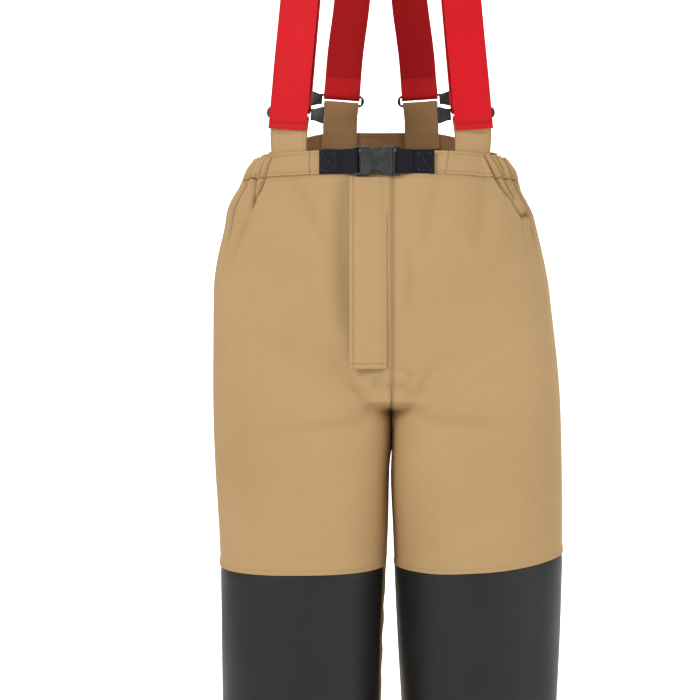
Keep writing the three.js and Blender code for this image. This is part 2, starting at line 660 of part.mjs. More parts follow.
const clips = {};
for (const [name, side] of Object.entries(SIDES)) {
  for (const [end, spread, slant, yaw, tabRise] of [
    ['front', FRONT_TAB_SPREAD, FRONT_SLANT, FRONT_YAW, FRONT_TAB_RISE],
    ['back', BACK_TAB_SPREAD, BACK_SLANT, 0, BACK_TAB_RISE],
  ]) {
    const isBack = end === 'back';
    const girth = girthAt(spread, isBack);
    const top = onTrousers(side, girth, 2);
    const barY = isBack ? top.y - tabLayer - tabRadius : top.y + tabLayer + tabRadius + 2;
    const frame = clipFrame(side, spread, barY, top.z + tabRise + BAR_PITCH, slant, yaw);
    clips[end + '_' + name] = frame;

    // The tab rises inside the waistband, turns over the lower bar and comes down behind itself.
    const half = TAB_WIDTH / 2;
    const rootTop = top.z - TAB_ROOT;
    const turns = 17;
    const tabTop = Array.from({ length: turns }, (_, i) => {
      const angle = Math.PI * (i / (turns - 1));
      return [-tabRadius * Math.cos(angle), -BAR_PITCH + tabRadius * Math.sin(angle)];
    });
    const outer = isBack ? 1 : -1;
    const rise = [0, 0.2, 0.4, 0.6, 0.8, 0.9];
    const surface = (u, v, leg) => {
      // leg 0 lies against the waistband, leg 1 behind it
      const w = (u - 0.5) * TAB_WIDTH;
      const x = frame.at(w, 0, -BAR_PITCH - tabRise).x;
      const g = girthAt(Math.abs(x), isBack);
      const z = lerp(rootTop, frame.at(w, 0, -BAR_PITCH).z, v);
      const depth = tabLayer + leg * (TAB_CLOTH + AIR);
      const root = layer(Math.sign(x), g, clamp(1 + (z - seamHeight(g)) / BAND, 1, 2), -depth);
      root.z = z;
      const head = frame.at(w, outer * (leg ? -1 : 1) * tabRadius, -BAR_PITCH);
      const lean = smoothstep(z, top.z, frame.origin.z - BAR_PITCH - 1);
      const t = (z - head.z) / frame.up.z;
      const hung = head.addScaledVector(frame.up, t);
      return root.lerp(hung, lean);
    };
    const rows = [
      ...rise.map((v) => (u) => surface(u, v, 0)),
      ...tabTop.map(([n, t]) => (u) => frame.at((u - 0.5) * TAB_WIDTH, -outer * n, t)),
      ...rise
        .slice()
        .reverse()
        .map((v) => (u) => surface(u, v, 1)),
    ];
    add(
      'suspender_tab_' + end + '_' + name,
      sheet((u, v) => rows[Math.round(v * (rows.length - 1))](u), 4, rows.length - 1, TAB_CLOTH),
      tan,
    );

    // The clip: two bars joined at one end, with a thumb grip and the tab's mouth at the other.
    const grip = side * (isBack ? 1 : -1); // towards the side seam at the back, the fly in front
    const long = WEBBING / 2 + SLOT_PLAY;
    const outline = new THREE.Shape();
    const [high, low] = [BAR, -BAR_PITCH - BAR];
    const round = (high - low) / 2;
    outline.moveTo(-long - CLIP_END + round, low);
    outline.lineTo(long + CLIP_END, low + 1);
    outline.lineTo(long + CLIP_END + CLIP_GRIP - 2, low - GRIP_FLARE);
    outline.lineTo(long + CLIP_END + CLIP_GRIP, low - GRIP_FLARE + 2);
    outline.lineTo(long + CLIP_END + CLIP_GRIP, high + GRIP_FLARE - 2);
    outline.lineTo(long + CLIP_END + CLIP_GRIP - 2, high + GRIP_FLARE);
    outline.lineTo(long + CLIP_END, high - 1);
    outline.lineTo(-long - CLIP_END + round, high);
    outline.absarc(-long - CLIP_END + round, (high + low) / 2, round, Math.PI / 2, (3 * Math.PI) / 2);
    const slab = { depth: 2 * BAR, bevelEnabled: false, curveSegments: 12 };
    const plate = solid(new THREE.ExtrudeGeometry(outline, slab).translate(0, 0, -BAR));
    const slot = solid(
      new THREE.BoxGeometry(2 * long, BAR_PITCH - 2 * BAR, 20).translate(0, -BAR_PITCH / 2, 0),
    );
    const mouth = solid(
      new THREE.BoxGeometry(CLIP_MOUTH, 4 * BAR, 20).translate(long - CLIP_MOUTH / 2, -BAR_PITCH - BAR, 0),
    );
    const clip = geometryOf(plate.subtract(slot).subtract(mouth));
    if (grip < 0) clip.rotateY(Math.PI);
    clip.applyMatrix4(frame.place);
    add('suspender_clip_' + end + '_' + name, clip, finish(PLASTIC, 0.5));
  }

  // One strap from the slide adjuster down round the front clip, up, over and down the back.
  const front = clips['front_' + name];
  const back = clips['back_' + name];
  const topZ = INSEAM + FRONT_RISE + SHOULDER_TOP;
  const bandZ = INSEAM + FRONT_RISE + BAND_RISE;
  const bandY = back.origin.y - 4;
  const down = Z.clone().negate();
  const straightTop = { ...front.stop(loopRadius, STRAIGHT), heading: front.up };
  const middleY = lerp(front.origin.y, back.origin.y, 0.52);
  const shoulder = {
    at: new THREE.Vector3(side * SHOULDER_SPREAD, middleY, topZ - WEBBING_THICK / 2),
    across: X,
    heading: Y,
  };
  const bandTop = {
    at: new THREE.Vector3(side * BAND_SPREAD, bandY, bandZ + BAND_HEIGHT / 2 + 4),
    across: X,
    heading: down,
  };
  const bandLow = {
    at: new THREE.Vector3(side * BAND_SPREAD, bandY, bandZ - BAND_HEIGHT / 2 - 4),
    across: X,
    heading: down,
  };
  const backEnd = { ...back.stop(loopRadius, LOOP_CLOSE + 8), heading: back.up.clone().negate() };
  const stops = [
    ...closingLeg(front, ADJUSTER_RISE).reverse(),
    ...halfTurn(front, loopRadius, 0, true),
    ...[0.1, 0.25, 0.5, 0.75].map((share) => front.stop(loopRadius, share * STRAIGHT)),
    straightTop,
    ...bend(straightTop, shoulder, 12),
    shoulder,
    ...bend(shoulder, bandTop, 12),
    bandTop,
    bandLow,
    ...bend(bandLow, backEnd, 6),
    backEnd,
    ...halfTurn(back, loopRadius, 0, false),
    ...closingLeg(back, BACK_TAIL),
  ];
  add('suspender_strap_' + name, ribbon(stops, WEBBING, WEBBING_THICK), finish(RED, 0.6));

  // The slide adjuster rides on the strap, and the tail hangs from its middle bar.
  const tailRadius = SLIDE_BAR + AIR + WEBBING_THICK / 2;
  const returnLayer = loopRadius - 2 * pitch;
  const barLayer = returnLayer - tailRadius;
  const hangLayer = -loopRadius - pitch - AIR;
  const tail = [
    front.stop(hangLayer, -TAIL_DROP),
    front.stop(hangLayer, LOOP_CLOSE),
    front.stop(barLayer - tailRadius, ADJUSTER_RISE - 20),
    ...Array.from({ length: 9 }, (_, i) => {
      const angle = (Math.PI * i) / 8;
      return front.stop(
        barLayer - tailRadius * Math.cos(angle),
        ADJUSTER_RISE + tailRadius * Math.sin(angle),
      );
    }),
    front.stop(returnLayer, ADJUSTER_RISE - TAIL_RETURN),
  ];
  add('suspender_tail_' + name, ribbon(tail, WEBBING, WEBBING_THICK), finish(RED, 0.6));
  const railFront = barLayer - SLIDE_BAR;
  const backBar = loopRadius + WEBBING_THICK / 2 + AIR + SLIDE_BAR;
  const railBack = backBar + SLIDE_BAR;
  const railAt = WEBBING / 2 + 2 * AIR + ADJUSTER_WALL / 2;
  const bar = (n, t) =>
    solid(
      new THREE.CylinderGeometry(SLIDE_BAR, SLIDE_BAR, 2 * railAt, 12)
        .rotateZ(Math.PI / 2)
        .translate(0, t, -n),
    );
  const rail = (w) =>
    solid(
      new THREE.BoxGeometry(ADJUSTER_WALL, ADJUSTER_LENGTH, railBack - railFront).translate(
        w,
        0,
        -(railBack + railFront) / 2,
      ),
    );
  const end = ADJUSTER_LENGTH / 2 - SLIDE_BAR;
  const adjuster = wasm.Manifold.union([
    rail(-railAt),
    rail(railAt),
    bar(barLayer, 0),
    bar(backBar, end),
    bar(backBar, -end),
  ]);
  add(
    'slide_adjuster_' + name,
    geometryOf(adjuster).translate(0, ADJUSTER_RISE, 0).applyMatrix4(front.place),
    finish(STEEL, 0.35, 0.9),
  );
}

// The cross band joins the two straps behind the shoulder blades.
{
  const width = 2 * BAND_SPREAD + WEBBING;
  const y = clips.back_left.origin.y - 4 + WEBBING_THICK + AIR;
  const z = INSEAM + FRONT_RISE + BAND_RISE;
  add(
    'suspender_cross_band',
    new THREE.BoxGeometry(width, WEBBING_THICK, BAND_HEIGHT).translate(0, y, z),
    finish(BLACK, 0.7),
  );
}

// ---- Belt and its side-release buckle ----
const beltZ = WAIST_TOP - BELT_DROP;
const bandFront = Math.min(onTrousers(1, 0, 1).y, onTrousers(1, 0, 2).y) - BAND_CLOTH / 2;
const buckleY = bandFront - 2 * AIR - HOUSING_THICK / 2;
const slotInset = BELT_BAR + BELT_SLOT;
const housingEnd = HOUSING_MOUTH - HOUSING_LENGTH;
const cavityThick = HOUSING_THICK - 2 * HOUSING_WALL;
const cavityHeight = HOUSING_HEIGHT - 2 * HOUSING_WALL;
const box = (x0, x1, thick, height, z = 0) =>
  solid(new THREE.BoxGeometry(x1 - x0, thick, height).translate((x0 + x1) / 2, 0, z));

// Room for the webbing in front of a bar, or behind it.
const barRelief = (x0, x1, side) =>
  box(x0, x1, 20, BELT + 2 * AIR).translate(0, side * (BELT_BAR / 2 + 10), 0);

const windowX = HOUSING_MOUTH - HOUSING_CAVITY / 2 - 2;
const windowCut = (side) =>
  solid(
    new THREE.CylinderGeometry(WINDOW_RADIUS, WINDOW_RADIUS, 30, 24).translate(
      windowX,
      0,
      side * (HOUSING_HEIGHT / 2 + WINDOW_RADIUS - WINDOW_DEPTH),
    ),
  );
const housingBlank = solid(
  new RoundedBoxGeometry(HOUSING_LENGTH, HOUSING_THICK, HOUSING_HEIGHT, 2, 2).translate(
    HOUSING_MOUTH - HOUSING_LENGTH / 2,
    0,
    0,
  ),
);
const housing = housingBlank
  .subtract(box(HOUSING_MOUTH - HOUSING_CAVITY, HOUSING_MOUTH + 9, cavityThick, cavityHeight))
  .subtract(box(housingEnd + BELT_BAR, housingEnd + slotInset, 30, BELT + 2 * AIR))
  .subtract(barRelief(housingEnd - 1, housingEnd + BELT_BAR + 0.01, 1))
  .subtract(barRelief(housingEnd - 1, housingEnd + BELT_BAR + 0.01, -1))
  .subtract(windowCut(1))
  .subtract(windowCut(-1));
const atBuckle = (made) => geometryOf(made).translate(0, buckleY, beltZ);
add('buckle_housing', atBuckle(housing), finish(PLASTIC, 0.45));

const insertThick = cavityThick - 2 * FIT;
const insertHeight = cavityHeight - 2 * FIT;
const collar = HOUSING_MOUTH + FIT;
const armRoot = HOUSING_MOUTH - 2.5;
const tongueEnd = HOUSING_MOUTH - HOUSING_CAVITY + 3;
const insertBar = collar + 2 + BELT_SLOT + BELT_BAR;
const insert = wasm.Manifold.union([
  box(armRoot + FIT, collar + 0.01, insertThick, insertHeight),
  box(tongueEnd, collar, insertThick, TONGUE),
  box(collar, insertBar, insertThick, HOUSING_HEIGHT),
])
  .subtract(box(collar + 2, insertBar - BELT_BAR, 30, BELT + 2 * AIR))
  .subtract(barRelief(insertBar - BELT_BAR - 0.01, insertBar + 1, 1))
  .subtract(barRelief(insertBar - BELT_BAR - 0.01, insertBar + 1, -1));
add('buckle_insert', atBuckle(insert), finish(PLASTIC, 0.45));

// Each release arm springs out into its window, where a thumb presses it in.
const armOuter = insertHeight / 2;
const windowLeft = windowX - WINDOW_RADIUS * 0.72;
const windowRight = windowX + WINDOW_RADIUS * 0.72;
for (const [name, up] of [['upper', 1], ['lower', -1]]) {
  const shape = new THREE.Shape();
  const inner = armOuter - ARM_WIDTH;
  shape.moveTo(armRoot, armOuter - 1);
  shape.lineTo(armRoot - 2, armOuter);
  shape.lineTo(windowRight - FIT, armOuter);
  shape.lineTo(windowRight - FIT - 0.6, armOuter + HOUSING_WALL * 0.6);
  shape.lineTo(windowX, armOuter + HOUSING_WALL * 0.2);
  shape.lineTo(windowLeft + 1, armOuter - 0.6);
  shape.lineTo(tongueEnd, armOuter - 3);
  shape.lineTo(tongueEnd, inner - 0.5);
  shape.lineTo(armRoot, inner);
  const slab = { depth: insertThick, bevelEnabled: false };
  const arm = new THREE.ExtrudeGeometry(shape, slab).translate(0, 0, -insertThick / 2);
  arm.rotateX(Math.PI / 2);
  if (up < 0) arm.rotateX(Math.PI);
  add('release_arm_' + name, arm.translate(0, buckleY, beltZ), finish(PLASTIC, 0.45));
}

// Webbing from its sewn end on the waistband to a bar, round it and back over itself.
function beltWebbing(sewnEnd, barX, direction) {
  const radius = BELT_BAR / 2 + 2 * AIR + BELT_CLOTH / 2;
  const surfaceY = (x) => {
    const side = x < 0 ? -1 : 1;
    const at = (level) => onTrousers(side, girthAt(Math.max(Math.abs(x), 1), false, level), level).y;
    return Math.min(at(1), at(2));
  };
  const lying = BAND_CLOTH / 2 + AIR + BELT_CLOTH / 2 + AIR;
  const lift = (x) => smoothstep(direction * (x - sewnEnd), 24, direction * (barX - sewnEnd));
  const path = [0, 0.15, 0.3, 0.45, 0.6, 0.75, 0.9].map((share) => {
    const x = lerp(sewnEnd, barX, share);
    return [x, lerp(surfaceY(x) - lying, buckleY + radius, lift(x))];
  });
  for (let i = 0; i <= 8; i++) {
    const angle = (Math.PI * i) / 8;
    path.push([
      barX + direction * radius * Math.sin(angle),
      buckleY + radius * Math.cos(angle),
    ]);
  }
  const backTo = barX - direction * BELT_RETURN;
  const underneath = lerp(surfaceY(backTo) - lying, buckleY + radius, lift(backTo));
  path.push([lerp(barX, backTo, 0.5), lerp(buckleY - radius, underneath - 2.6, 0.45)]);
  path.push([backTo, Math.min(underneath - BELT_CLOTH - AIR, buckleY + 2)]);
  const stops = path.map(([x, y]) => ({ at: new THREE.Vector3(x, y, beltZ), across: Z }));
  return ribbon(stops, BELT, BELT_CLOTH);
}
const webbing = finish(NAVY, 0.7);
add('belt_webbing_right', beltWebbing(BELT_RIGHT_END, housingEnd + BELT_BAR / 2, 1), webbing);
add('belt_webbing_left', beltWebbing(BELT_LEFT_END, insertBar - BELT_BAR / 2, -1), webbing);

// The origin goes below the middle of the whole.
const middle = new THREE.Box3().setFromObject(part).getCenter(new THREE.Vector3());
part.position.set(-middle.x, -middle.y, 0);

export default part;
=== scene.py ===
"""Firefighter's bunker trousers with clip-on suspenders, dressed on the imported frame."""

import json
from math import cos, pi, radians, sin

import bpy
import numpy as np
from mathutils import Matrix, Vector

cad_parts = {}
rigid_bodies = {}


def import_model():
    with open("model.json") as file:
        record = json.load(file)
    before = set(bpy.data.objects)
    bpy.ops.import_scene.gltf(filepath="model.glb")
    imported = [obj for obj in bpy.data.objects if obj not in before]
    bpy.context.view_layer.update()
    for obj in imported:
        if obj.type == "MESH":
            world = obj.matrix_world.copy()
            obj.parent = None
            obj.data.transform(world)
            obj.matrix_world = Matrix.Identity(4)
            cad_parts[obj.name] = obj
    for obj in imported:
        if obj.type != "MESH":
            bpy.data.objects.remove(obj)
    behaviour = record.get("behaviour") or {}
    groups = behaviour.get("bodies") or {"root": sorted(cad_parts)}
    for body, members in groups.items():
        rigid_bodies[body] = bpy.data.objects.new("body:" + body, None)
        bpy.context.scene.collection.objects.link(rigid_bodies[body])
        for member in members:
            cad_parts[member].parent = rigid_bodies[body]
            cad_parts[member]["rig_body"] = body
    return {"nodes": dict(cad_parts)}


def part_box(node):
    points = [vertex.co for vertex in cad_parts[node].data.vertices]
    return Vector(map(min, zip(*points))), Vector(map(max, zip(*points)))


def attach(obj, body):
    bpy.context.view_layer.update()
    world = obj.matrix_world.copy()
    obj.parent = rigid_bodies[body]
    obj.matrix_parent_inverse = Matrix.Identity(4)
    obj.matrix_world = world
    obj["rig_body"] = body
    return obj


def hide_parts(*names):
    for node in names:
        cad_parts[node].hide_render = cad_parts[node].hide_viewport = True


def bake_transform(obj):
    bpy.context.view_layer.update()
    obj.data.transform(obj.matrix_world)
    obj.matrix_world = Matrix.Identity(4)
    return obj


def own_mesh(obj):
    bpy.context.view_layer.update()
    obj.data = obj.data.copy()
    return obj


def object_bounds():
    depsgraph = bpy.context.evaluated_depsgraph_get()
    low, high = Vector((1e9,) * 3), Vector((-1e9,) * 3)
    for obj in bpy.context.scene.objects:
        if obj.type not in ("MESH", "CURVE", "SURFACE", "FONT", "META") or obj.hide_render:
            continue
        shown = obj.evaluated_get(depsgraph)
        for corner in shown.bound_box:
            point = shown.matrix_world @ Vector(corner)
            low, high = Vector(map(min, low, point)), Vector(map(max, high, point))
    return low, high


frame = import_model()
cad_box = [list(corner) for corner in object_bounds()]
body = "trousers"

# ---- Camera ----
# A level camera stands about two metres in front of the belt, with the hips in the middle
# of its picture. The suspenders and the shins run out of the frame.
mm = 0.001
CAMERA_AWAY, CAMERA_DROP = 1900, 250  # ahead of the clothes, and below the waistband's top
low_corner = Vector(cad_box[0])
cross_low, cross_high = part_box("suspender_cross_band")
middle = (cross_low[0] + cross_high[0]) / 2  # of the trousers, left to right
band_low, band_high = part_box("waistband_front_left")
bpy.ops.object.camera_add(
    location=(middle, low_corner.y - CAMERA_AWAY * mm, band_high[2] - CAMERA_DROP * mm),
    rotation=(pi / 2, 0, 0),
)
camera = bpy.context.object
camera.data.lens = 79
camera.data.sensor_width = 36
camera.data.shift_x = -0.044
bpy.context.scene.camera = camera

# ---- Studio ----
# A seamless pale sweep, one big soft light from the upper left and weaker ones around it.
bpy.ops.object.select_all(action="DESELECT")
bpy.ops.mesh.primitive_grid_add(x_subdivisions=2, y_subdivisions=48, size=1)
sweep = bpy.context.object
sweep.name = "studio_sweep"
SWEEP_WIDE, SWEEP_LONG, SWEEP_FLAT = 16, 13, 11.2  # in metres
for corner in sweep.data.vertices:
    along = (corner.co.y + 0.5) * SWEEP_LONG
    climb = max(0, along - SWEEP_FLAT)
    run = min(along, SWEEP_FLAT + climb * 0.4) - SWEEP_LONG / 2
    corner.co = (corner.co.x * SWEEP_WIDE, run, climb * climb * 1.6)
bpy.ops.object.shade_smooth()
pale = bpy.data.materials.new("studio_paper")
pale.use_nodes = True
pale.node_tree.nodes["Principled BSDF"].inputs["Base Color"].default_value = (0.9, 0.9, 0.9, 1)
pale.node_tree.nodes["Principled BSDF"].inputs["Roughness"].default_value = 0.9
sweep.data.materials.append(pale)

world = bpy.data.worlds.new("studio_air")
world.use_nodes = True
world.node_tree.nodes["Background"].inputs["Color"].default_value = (1, 1, 1, 1)
world.node_tree.nodes["Background"].inputs["Strength"].default_value = 0.5
bpy.context.scene.world = world
bpy.context.scene.view_settings.view_transform = "Standard"


def softbox(name, place, aim, width, watts):
    """A square area light in metres, turned towards a place."""
    bpy.ops.object.light_add(type="AREA", location=place)
    light = bpy.context.object
    light.name = name
    light.rotation_euler = (Vector(aim) - Vector(place)).to_track_quat("-Z", "Y").to_euler()
    light.data.size = width
    light.data.energy = watts


softbox("key_softbox", (-1.7, -2.4, 2.3), (0, 0, 0.9), 1.0, 46)
softbox("fill_softbox", (2.7, -1.7, 1.3), (0, 0, 0.9), 1.6, 26)
softbox("top_softbox", (0, 0.4, 3.2), (0, 0, 1.0), 1.4, 24)
softbox("rear_softbox", (1.4, 2.4, 2.0), (0, 0, 0.9), 1.6, 26)
softbox("backdrop_wash", (0, 2.6, 3.2), (0, 5.2, 1.2), 3.0, 190)


# ---- Outer shell ----
# Four panels of brushed tan softshell cloth, sewn at the sides, the inseams and the
# middle, and gathered where the waist elastic draws them in.
def smooth(x, start, end):
    t = np.clip((np.asarray(x, float) - start) / (end - start), 0, 1)
    return t * t * (3 - 2 * t)


def mix(a, b, share):
    return a + (b - a) * share


def signed_power(value, exponent):
    return np.sign(value) * np.abs(value) ** exponent


def hump(x, wide):
    return np.exp(-((np.asarray(x, float) / wide) ** 2))


# Sizes are in millimetres, and widths and depths are halves.
INSEAM = 750
FRONT_RISE = 327
BACK_LIFT = 54  # how much higher the waistband stands behind
BAND = 30
WAIST_WIDTH, HIP_WIDTH = 170, 222
THIGH_WIDTH, KNEE_WIDTH, HEM_WIDTH = 112, 103, 88
WAIST_DEPTH = 117
CUFF = 45
FLY_SEAM = 14  # to the wearer's left of the middle
SQUARENESS = 0.88  # of the outline from above: 1 is an ellipse, and less is squarer
FLAT_FRONT = 0.55  # the same, for the inner front of the thighs
WAIST_TOP = INSEAM + FRONT_RISE
CUFF_LEVEL = CUFF / INSEAM - 1
SHELL_CLOTH = 2.0
# A level runs from -1 at the hem through 0 at the crotch and 1 at the waistband's seam to 2 at
# its top. Each chart row is a level with the leg's or the body's half sizes there.
LEG_CHART = np.array(
    [
        # level, gap, width, front, back
        (-1, 26, HEM_WIDTH, 80, 86),
        (CUFF_LEVEL, 26, HEM_WIDTH, 80, 86),
        (-0.5, 14, KNEE_WIDTH, 95, 100),
        (-0.15, 4, mix(THIGH_WIDTH, KNEE_WIDTH, 0.2), 110, 118),
        (0, 1.35, THIGH_WIDTH, 116, 128),
    ]
)
BODY_CHART = np.array(
    [
        # level, width, front, back
        (0, HIP_WIDTH + 2, WAIST_DEPTH + 7, WAIST_DEPTH + 33),
        (0.5, HIP_WIDTH - 2, WAIST_DEPTH + 9, WAIST_DEPTH + 33),
        (0.84, mix(HIP_WIDTH, WAIST_WIDTH, 0.42), WAIST_DEPTH + 6, WAIST_DEPTH + 17),
        (1, mix(HIP_WIDTH, WAIST_WIDTH, 0.85), WAIST_DEPTH + 3, WAIST_DEPTH + 4),
        (2, WAIST_WIDTH, WAIST_DEPTH, WAIST_DEPTH - 2),
    ]
)
GAP, LEG_WIDE, LEG_FRONT, LEG_BACK = 1, 2, 3, 4
BODY_WIDE, BODY_FRONT, BODY_BACK = 1, 2, 3
# Where the middle of the waist lies in the frame.
origin = np.array([middle / mm, band_low[1] / mm + WAIST_DEPTH + 3 + 1.5, 0.0])


def measure(chart, column, level):
    """A chart's size at a level, on a smooth curve that doesn't overshoot its rows."""
    rows, sizes = chart[:, 0], chart[:, column]
    slopes = np.diff(sizes) / np.diff(rows)
    before, after = slopes[:-1], slopes[1:]
    both = np.where(before + after == 0, 1, before + after)
    inner = np.where(before * after > 0, 2 * before * after / both, 0)
    tangents = np.concatenate([slopes[:1], inner, slopes[-1:]])
    at = np.clip(level, rows[0], rows[-1])
    i = np.clip(np.searchsorted(rows, at, side="left") - 1, 0, len(rows) - 2)
    span = rows[i + 1] - rows[i]
    t = (at - rows[i]) / span
    return (
        (2 * t**3 - 3 * t**2 + 1) * sizes[i]
        + (t**3 - 2 * t**2 + t) * span * tangents[i]
        + (3 * t**2 - 2 * t**3) * sizes[i + 1]
        + (t**3 - t**2) * span * tangents[i + 1]
    )


def seam_height(girth):
    """Height of the waistband's seam, which climbs towards the back."""
    return WAIST_TOP - BAND + BACK_LIFT * smooth(girth, 0.48, 0.92)


def stance(height):
    """How far the relaxed stance carries a height of the trousers to the wearer's left."""
    return 13 * smooth(WAIST_TOP - 60 - height, 0, 480)


def seam_lean(height, girth):
    """How far the middle seam lies beyond the stance: beside the fly in front, and running out
    below the crotch and behind."""
    at_crotch = FLY_SEAM - stance(INSEAM)
    above = height - INSEAM
    behind = at_crotch * (1 - smooth(above, 0, 140))
    upper = np.where(girth > 0.5, behind, FLY_SEAM - stance(height))
    return np.where(above < 0, at_crotch * (1 - smooth(-above, 0, 110)), upper)


def trousers(side, girth, level, inset=0.0):
    """The middle of the shell's cloth, in millimetres: girth runs from the front or the inseam
    over the side at 0.5 to the back at 1. An inset gives a smaller copy that lies inside."""
    girth, level = np.broadcast_arrays(np.asarray(girth, float), np.asarray(level, float))
    twist = radians(13) * smooth(-level, 0, 0.3) if side < 0 else 0
    turn = 2 * pi * girth + twist
    leg_wide = measure(LEG_CHART, LEG_WIDE, level) - inset
    ahead, behind = measure(LEG_CHART, LEG_FRONT, level), measure(LEG_CHART, LEG_BACK, level)
    leg_deep = np.where(np.sin(turn) > 0, ahead, behind) - inset
    in_front = (np.sin(turn) > 0) & (np.cos(turn) > 0)
    square = np.where(in_front, mix(SQUARENESS, FLAT_FRONT, smooth(level, -0.4, 0)), SQUARENESS)
    leg_x = measure(LEG_CHART, GAP, level) + inset + leg_wide * (1 - signed_power(np.cos(turn), square))
    leg_y = -leg_deep * signed_power(np.sin(turn), square)
    body_x = (measure(BODY_CHART, BODY_WIDE, level) - inset) * signed_power(np.sin(pi * girth), SQUARENESS)
    ahead, behind = measure(BODY_CHART, BODY_FRONT, level), measure(BODY_CHART, BODY_BACK, level)
    body_y = -(np.where(girth < 0.5, ahead, behind) - inset) * signed_power(np.cos(pi * girth), SQUARENESS)
    crotch = np.clip(level / np.where(girth < 0.5, 0.15, 0.44), 0, 1)
    at_seam = np.sqrt(1 - (1 - crotch) ** 2)
    join_by = mix(0.36, 0.7, smooth(girth, 0.25, 0.75))
    share = mix(smooth(level / join_by, 0, 1), at_seam, hump(np.minimum(girth, 1 - girth), 0.1))
    seam = seam_height(girth)
    rise = np.where(level <= 1, mix(INSEAM, seam, level), seam + (level - 1) * BAND)
    height = np.where(level <= 0, INSEAM * (1 + level), rise)
    lifted = height + inset * (1 - smooth(np.abs(level), 0, 0.4))
    x = np.maximum(mix(leg_x, body_x, share), 0)
    lean = seam_lean(height, girth) * hump(x, 45)
    return np.stack([side * x + stance(height) + lean, mix(leg_y, body_y, share), lifted], -1)


def weave(across, along):
    """The shares across and along a cloth at the corners of its grid."""
    return np.meshgrid(np.linspace(0, 1, across + 1), np.linspace(0, 1, along + 1))


class Patch:
    """A grid of cloth: its places, outward directions and distances from its four edges."""

    def __init__(self, at, outward=1, ring=False):
        self.at = at
        self.out = self.directions(ring) * outward
        step_u = np.linalg.norm(np.diff(at, axis=1), axis=2)
        step_v = np.linalg.norm(np.diff(at, axis=0), axis=2)
        self.left = np.pad(np.cumsum(step_u, 1), ((0, 0), (1, 0)))
        self.low = np.pad(np.cumsum(step_v, 0), ((1, 0), (0, 0)))
        self.right = self.left[:, -1:] - self.left
        self.high = self.low[-1:] - self.low

    def nearest(self):
        """The distance from the nearest edge."""
        return np.minimum.reduce([self.left, self.right, self.low, self.high])

    def directions(self, ring):
        around, up = np.gradient(self.at, axis=1), np.gradient(self.at, axis=0)
        if ring:
            around[:, 0] = around[:, -1] = self.at[:, 1] - self.at[:, -2]
        out = np.cross(around, up)
        for _ in range(5):
            out = out / np.maximum(np.linalg.norm(out, axis=2, keepdims=True), 1e-9)
            if len(out) > 40:  # tall cloth turns sharply at the crotch
                out[1:-1] = (out[:-2] + 2 * out[1:-1] + out[2:]) / 4
        return out / np.maximum(np.linalg.norm(out, axis=2, keepdims=True), 1e-9)

    def cut(self):
        """The flat cloth's (width, length) and its area, in metres, with its folds let out."""
        around = np.linalg.norm(np.diff(self.laid, axis=1), axis=2)
        up = np.linalg.norm(np.diff(self.laid, axis=0), axis=2)
        flat = (around.sum(1).max() * mm, up.sum(0).max() * mm)
        around, up = around[:-1], up[:, :-1]
        return flat, min(float((around * up).sum()) * mm * mm, flat[0] * flat[1])


def cloth(name, patch, raised, thickness, finishes, crease_shade=0.0, rim=0.45, ring=False, rider=body):
    """Lays a flat grid onto the patch, raised along its normals, and gives it its thickness."""
    rows, columns = patch.left.shape
    bpy.ops.object.select_all(action="DESELECT")
    bpy.ops.mesh.primitive_grid_add(x_subdivisions=columns - 1, y_subdivisions=rows - 1, size=2)
    piece = bpy.context.object
    piece.name = piece.data.name = name
    raised = np.broadcast_to(np.asarray(raised, float), patch.left.shape)
    places = patch.laid = patch.at + patch.out * raised[..., None]
    piece.data.vertices.foreach_set("co", ((places + origin) * mm).ravel())
    uv = piece.data.uv_layers.active.data
    flat = np.empty(len(uv) * 2)
    uv.foreach_get("uv", flat)
    flat = flat.reshape(-1, 2) * (patch.left.max() * mm, patch.low.max() * mm)
    uv.foreach_set("uv", flat.ravel())
    # painted shade: each point's share of the darker crease colour that the finishes mix in
    wear_and_shade = piece.data.attributes.new("crease_shade", "FLOAT", "POINT")
    depth = np.clip(np.broadcast_to(np.asarray(crease_shade, float), patch.left.shape), 0, 1)
    wear_and_shade.data.foreach_set("value", depth.ravel().astype(np.float32))
    piece.data.update()
    outward, sample = patch.out.reshape(-1, 3), piece.data.polygons[:9]
    if sum(np.dot(face.normal, outward[face.vertices[0]]) for face in sample) < 0:
        piece.data.flip_normals()
    for finish in finishes:
        piece.data.materials.append(finish)
    if ring:
        bpy.ops.object.mode_set(mode="EDIT")
        bpy.ops.mesh.select_all(action="SELECT")
        bpy.ops.mesh.remove_doubles(threshold=0.01 * mm)
        bpy.ops.object.mode_set(mode="OBJECT")
    thick = piece.modifiers.new("cloth", "SOLIDIFY")
    thick.thickness = thickness * mm
    thick.offset = 0
    thick.use_even_offset = False
    thick.material_offset = len(finishes) - 1
    bpy.ops.object.modifier_apply(modifier=thick.name)
    if rim:
        soft = piece.modifiers.new("rim", "BEVEL")
        soft.width = rim * mm
        soft.segments = 2
        soft.limit_method = "ANGLE"
        soft.angle_limit = radians(60)
        bpy.ops.object.modifier_apply(modifier=soft.name)
    bpy.ops.object.shade_smooth()
    if rider:
        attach(piece, rider)
    return piece


def declare(piece, patch, held, rests_on, slot, *nodes):
    """Hides the nodes that a sheet stands for and works out its cut size; the piece, what holds it and its
    finish are not used.
    """
    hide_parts(*nodes)
    flat, area = patch.cut()


def ripple(places, wave, seed, stretch=(1, 1, 1)):
    """Smooth uneven waves over the cloth, from -1 to 1, about a wave long."""
    waves = np.random.default_rng(seed)
    total = 0
    for _ in range(7):
        heading = waves.normal(size=3)
        heading /= np.linalg.norm(heading) * np.array(stretch)
        phase = places @ heading * 2 * pi / (wave * waves.uniform(0.75, 1.5))
        total = total + np.sin(phase + waves.uniform(0, 2 * pi))
    return total / 4.2


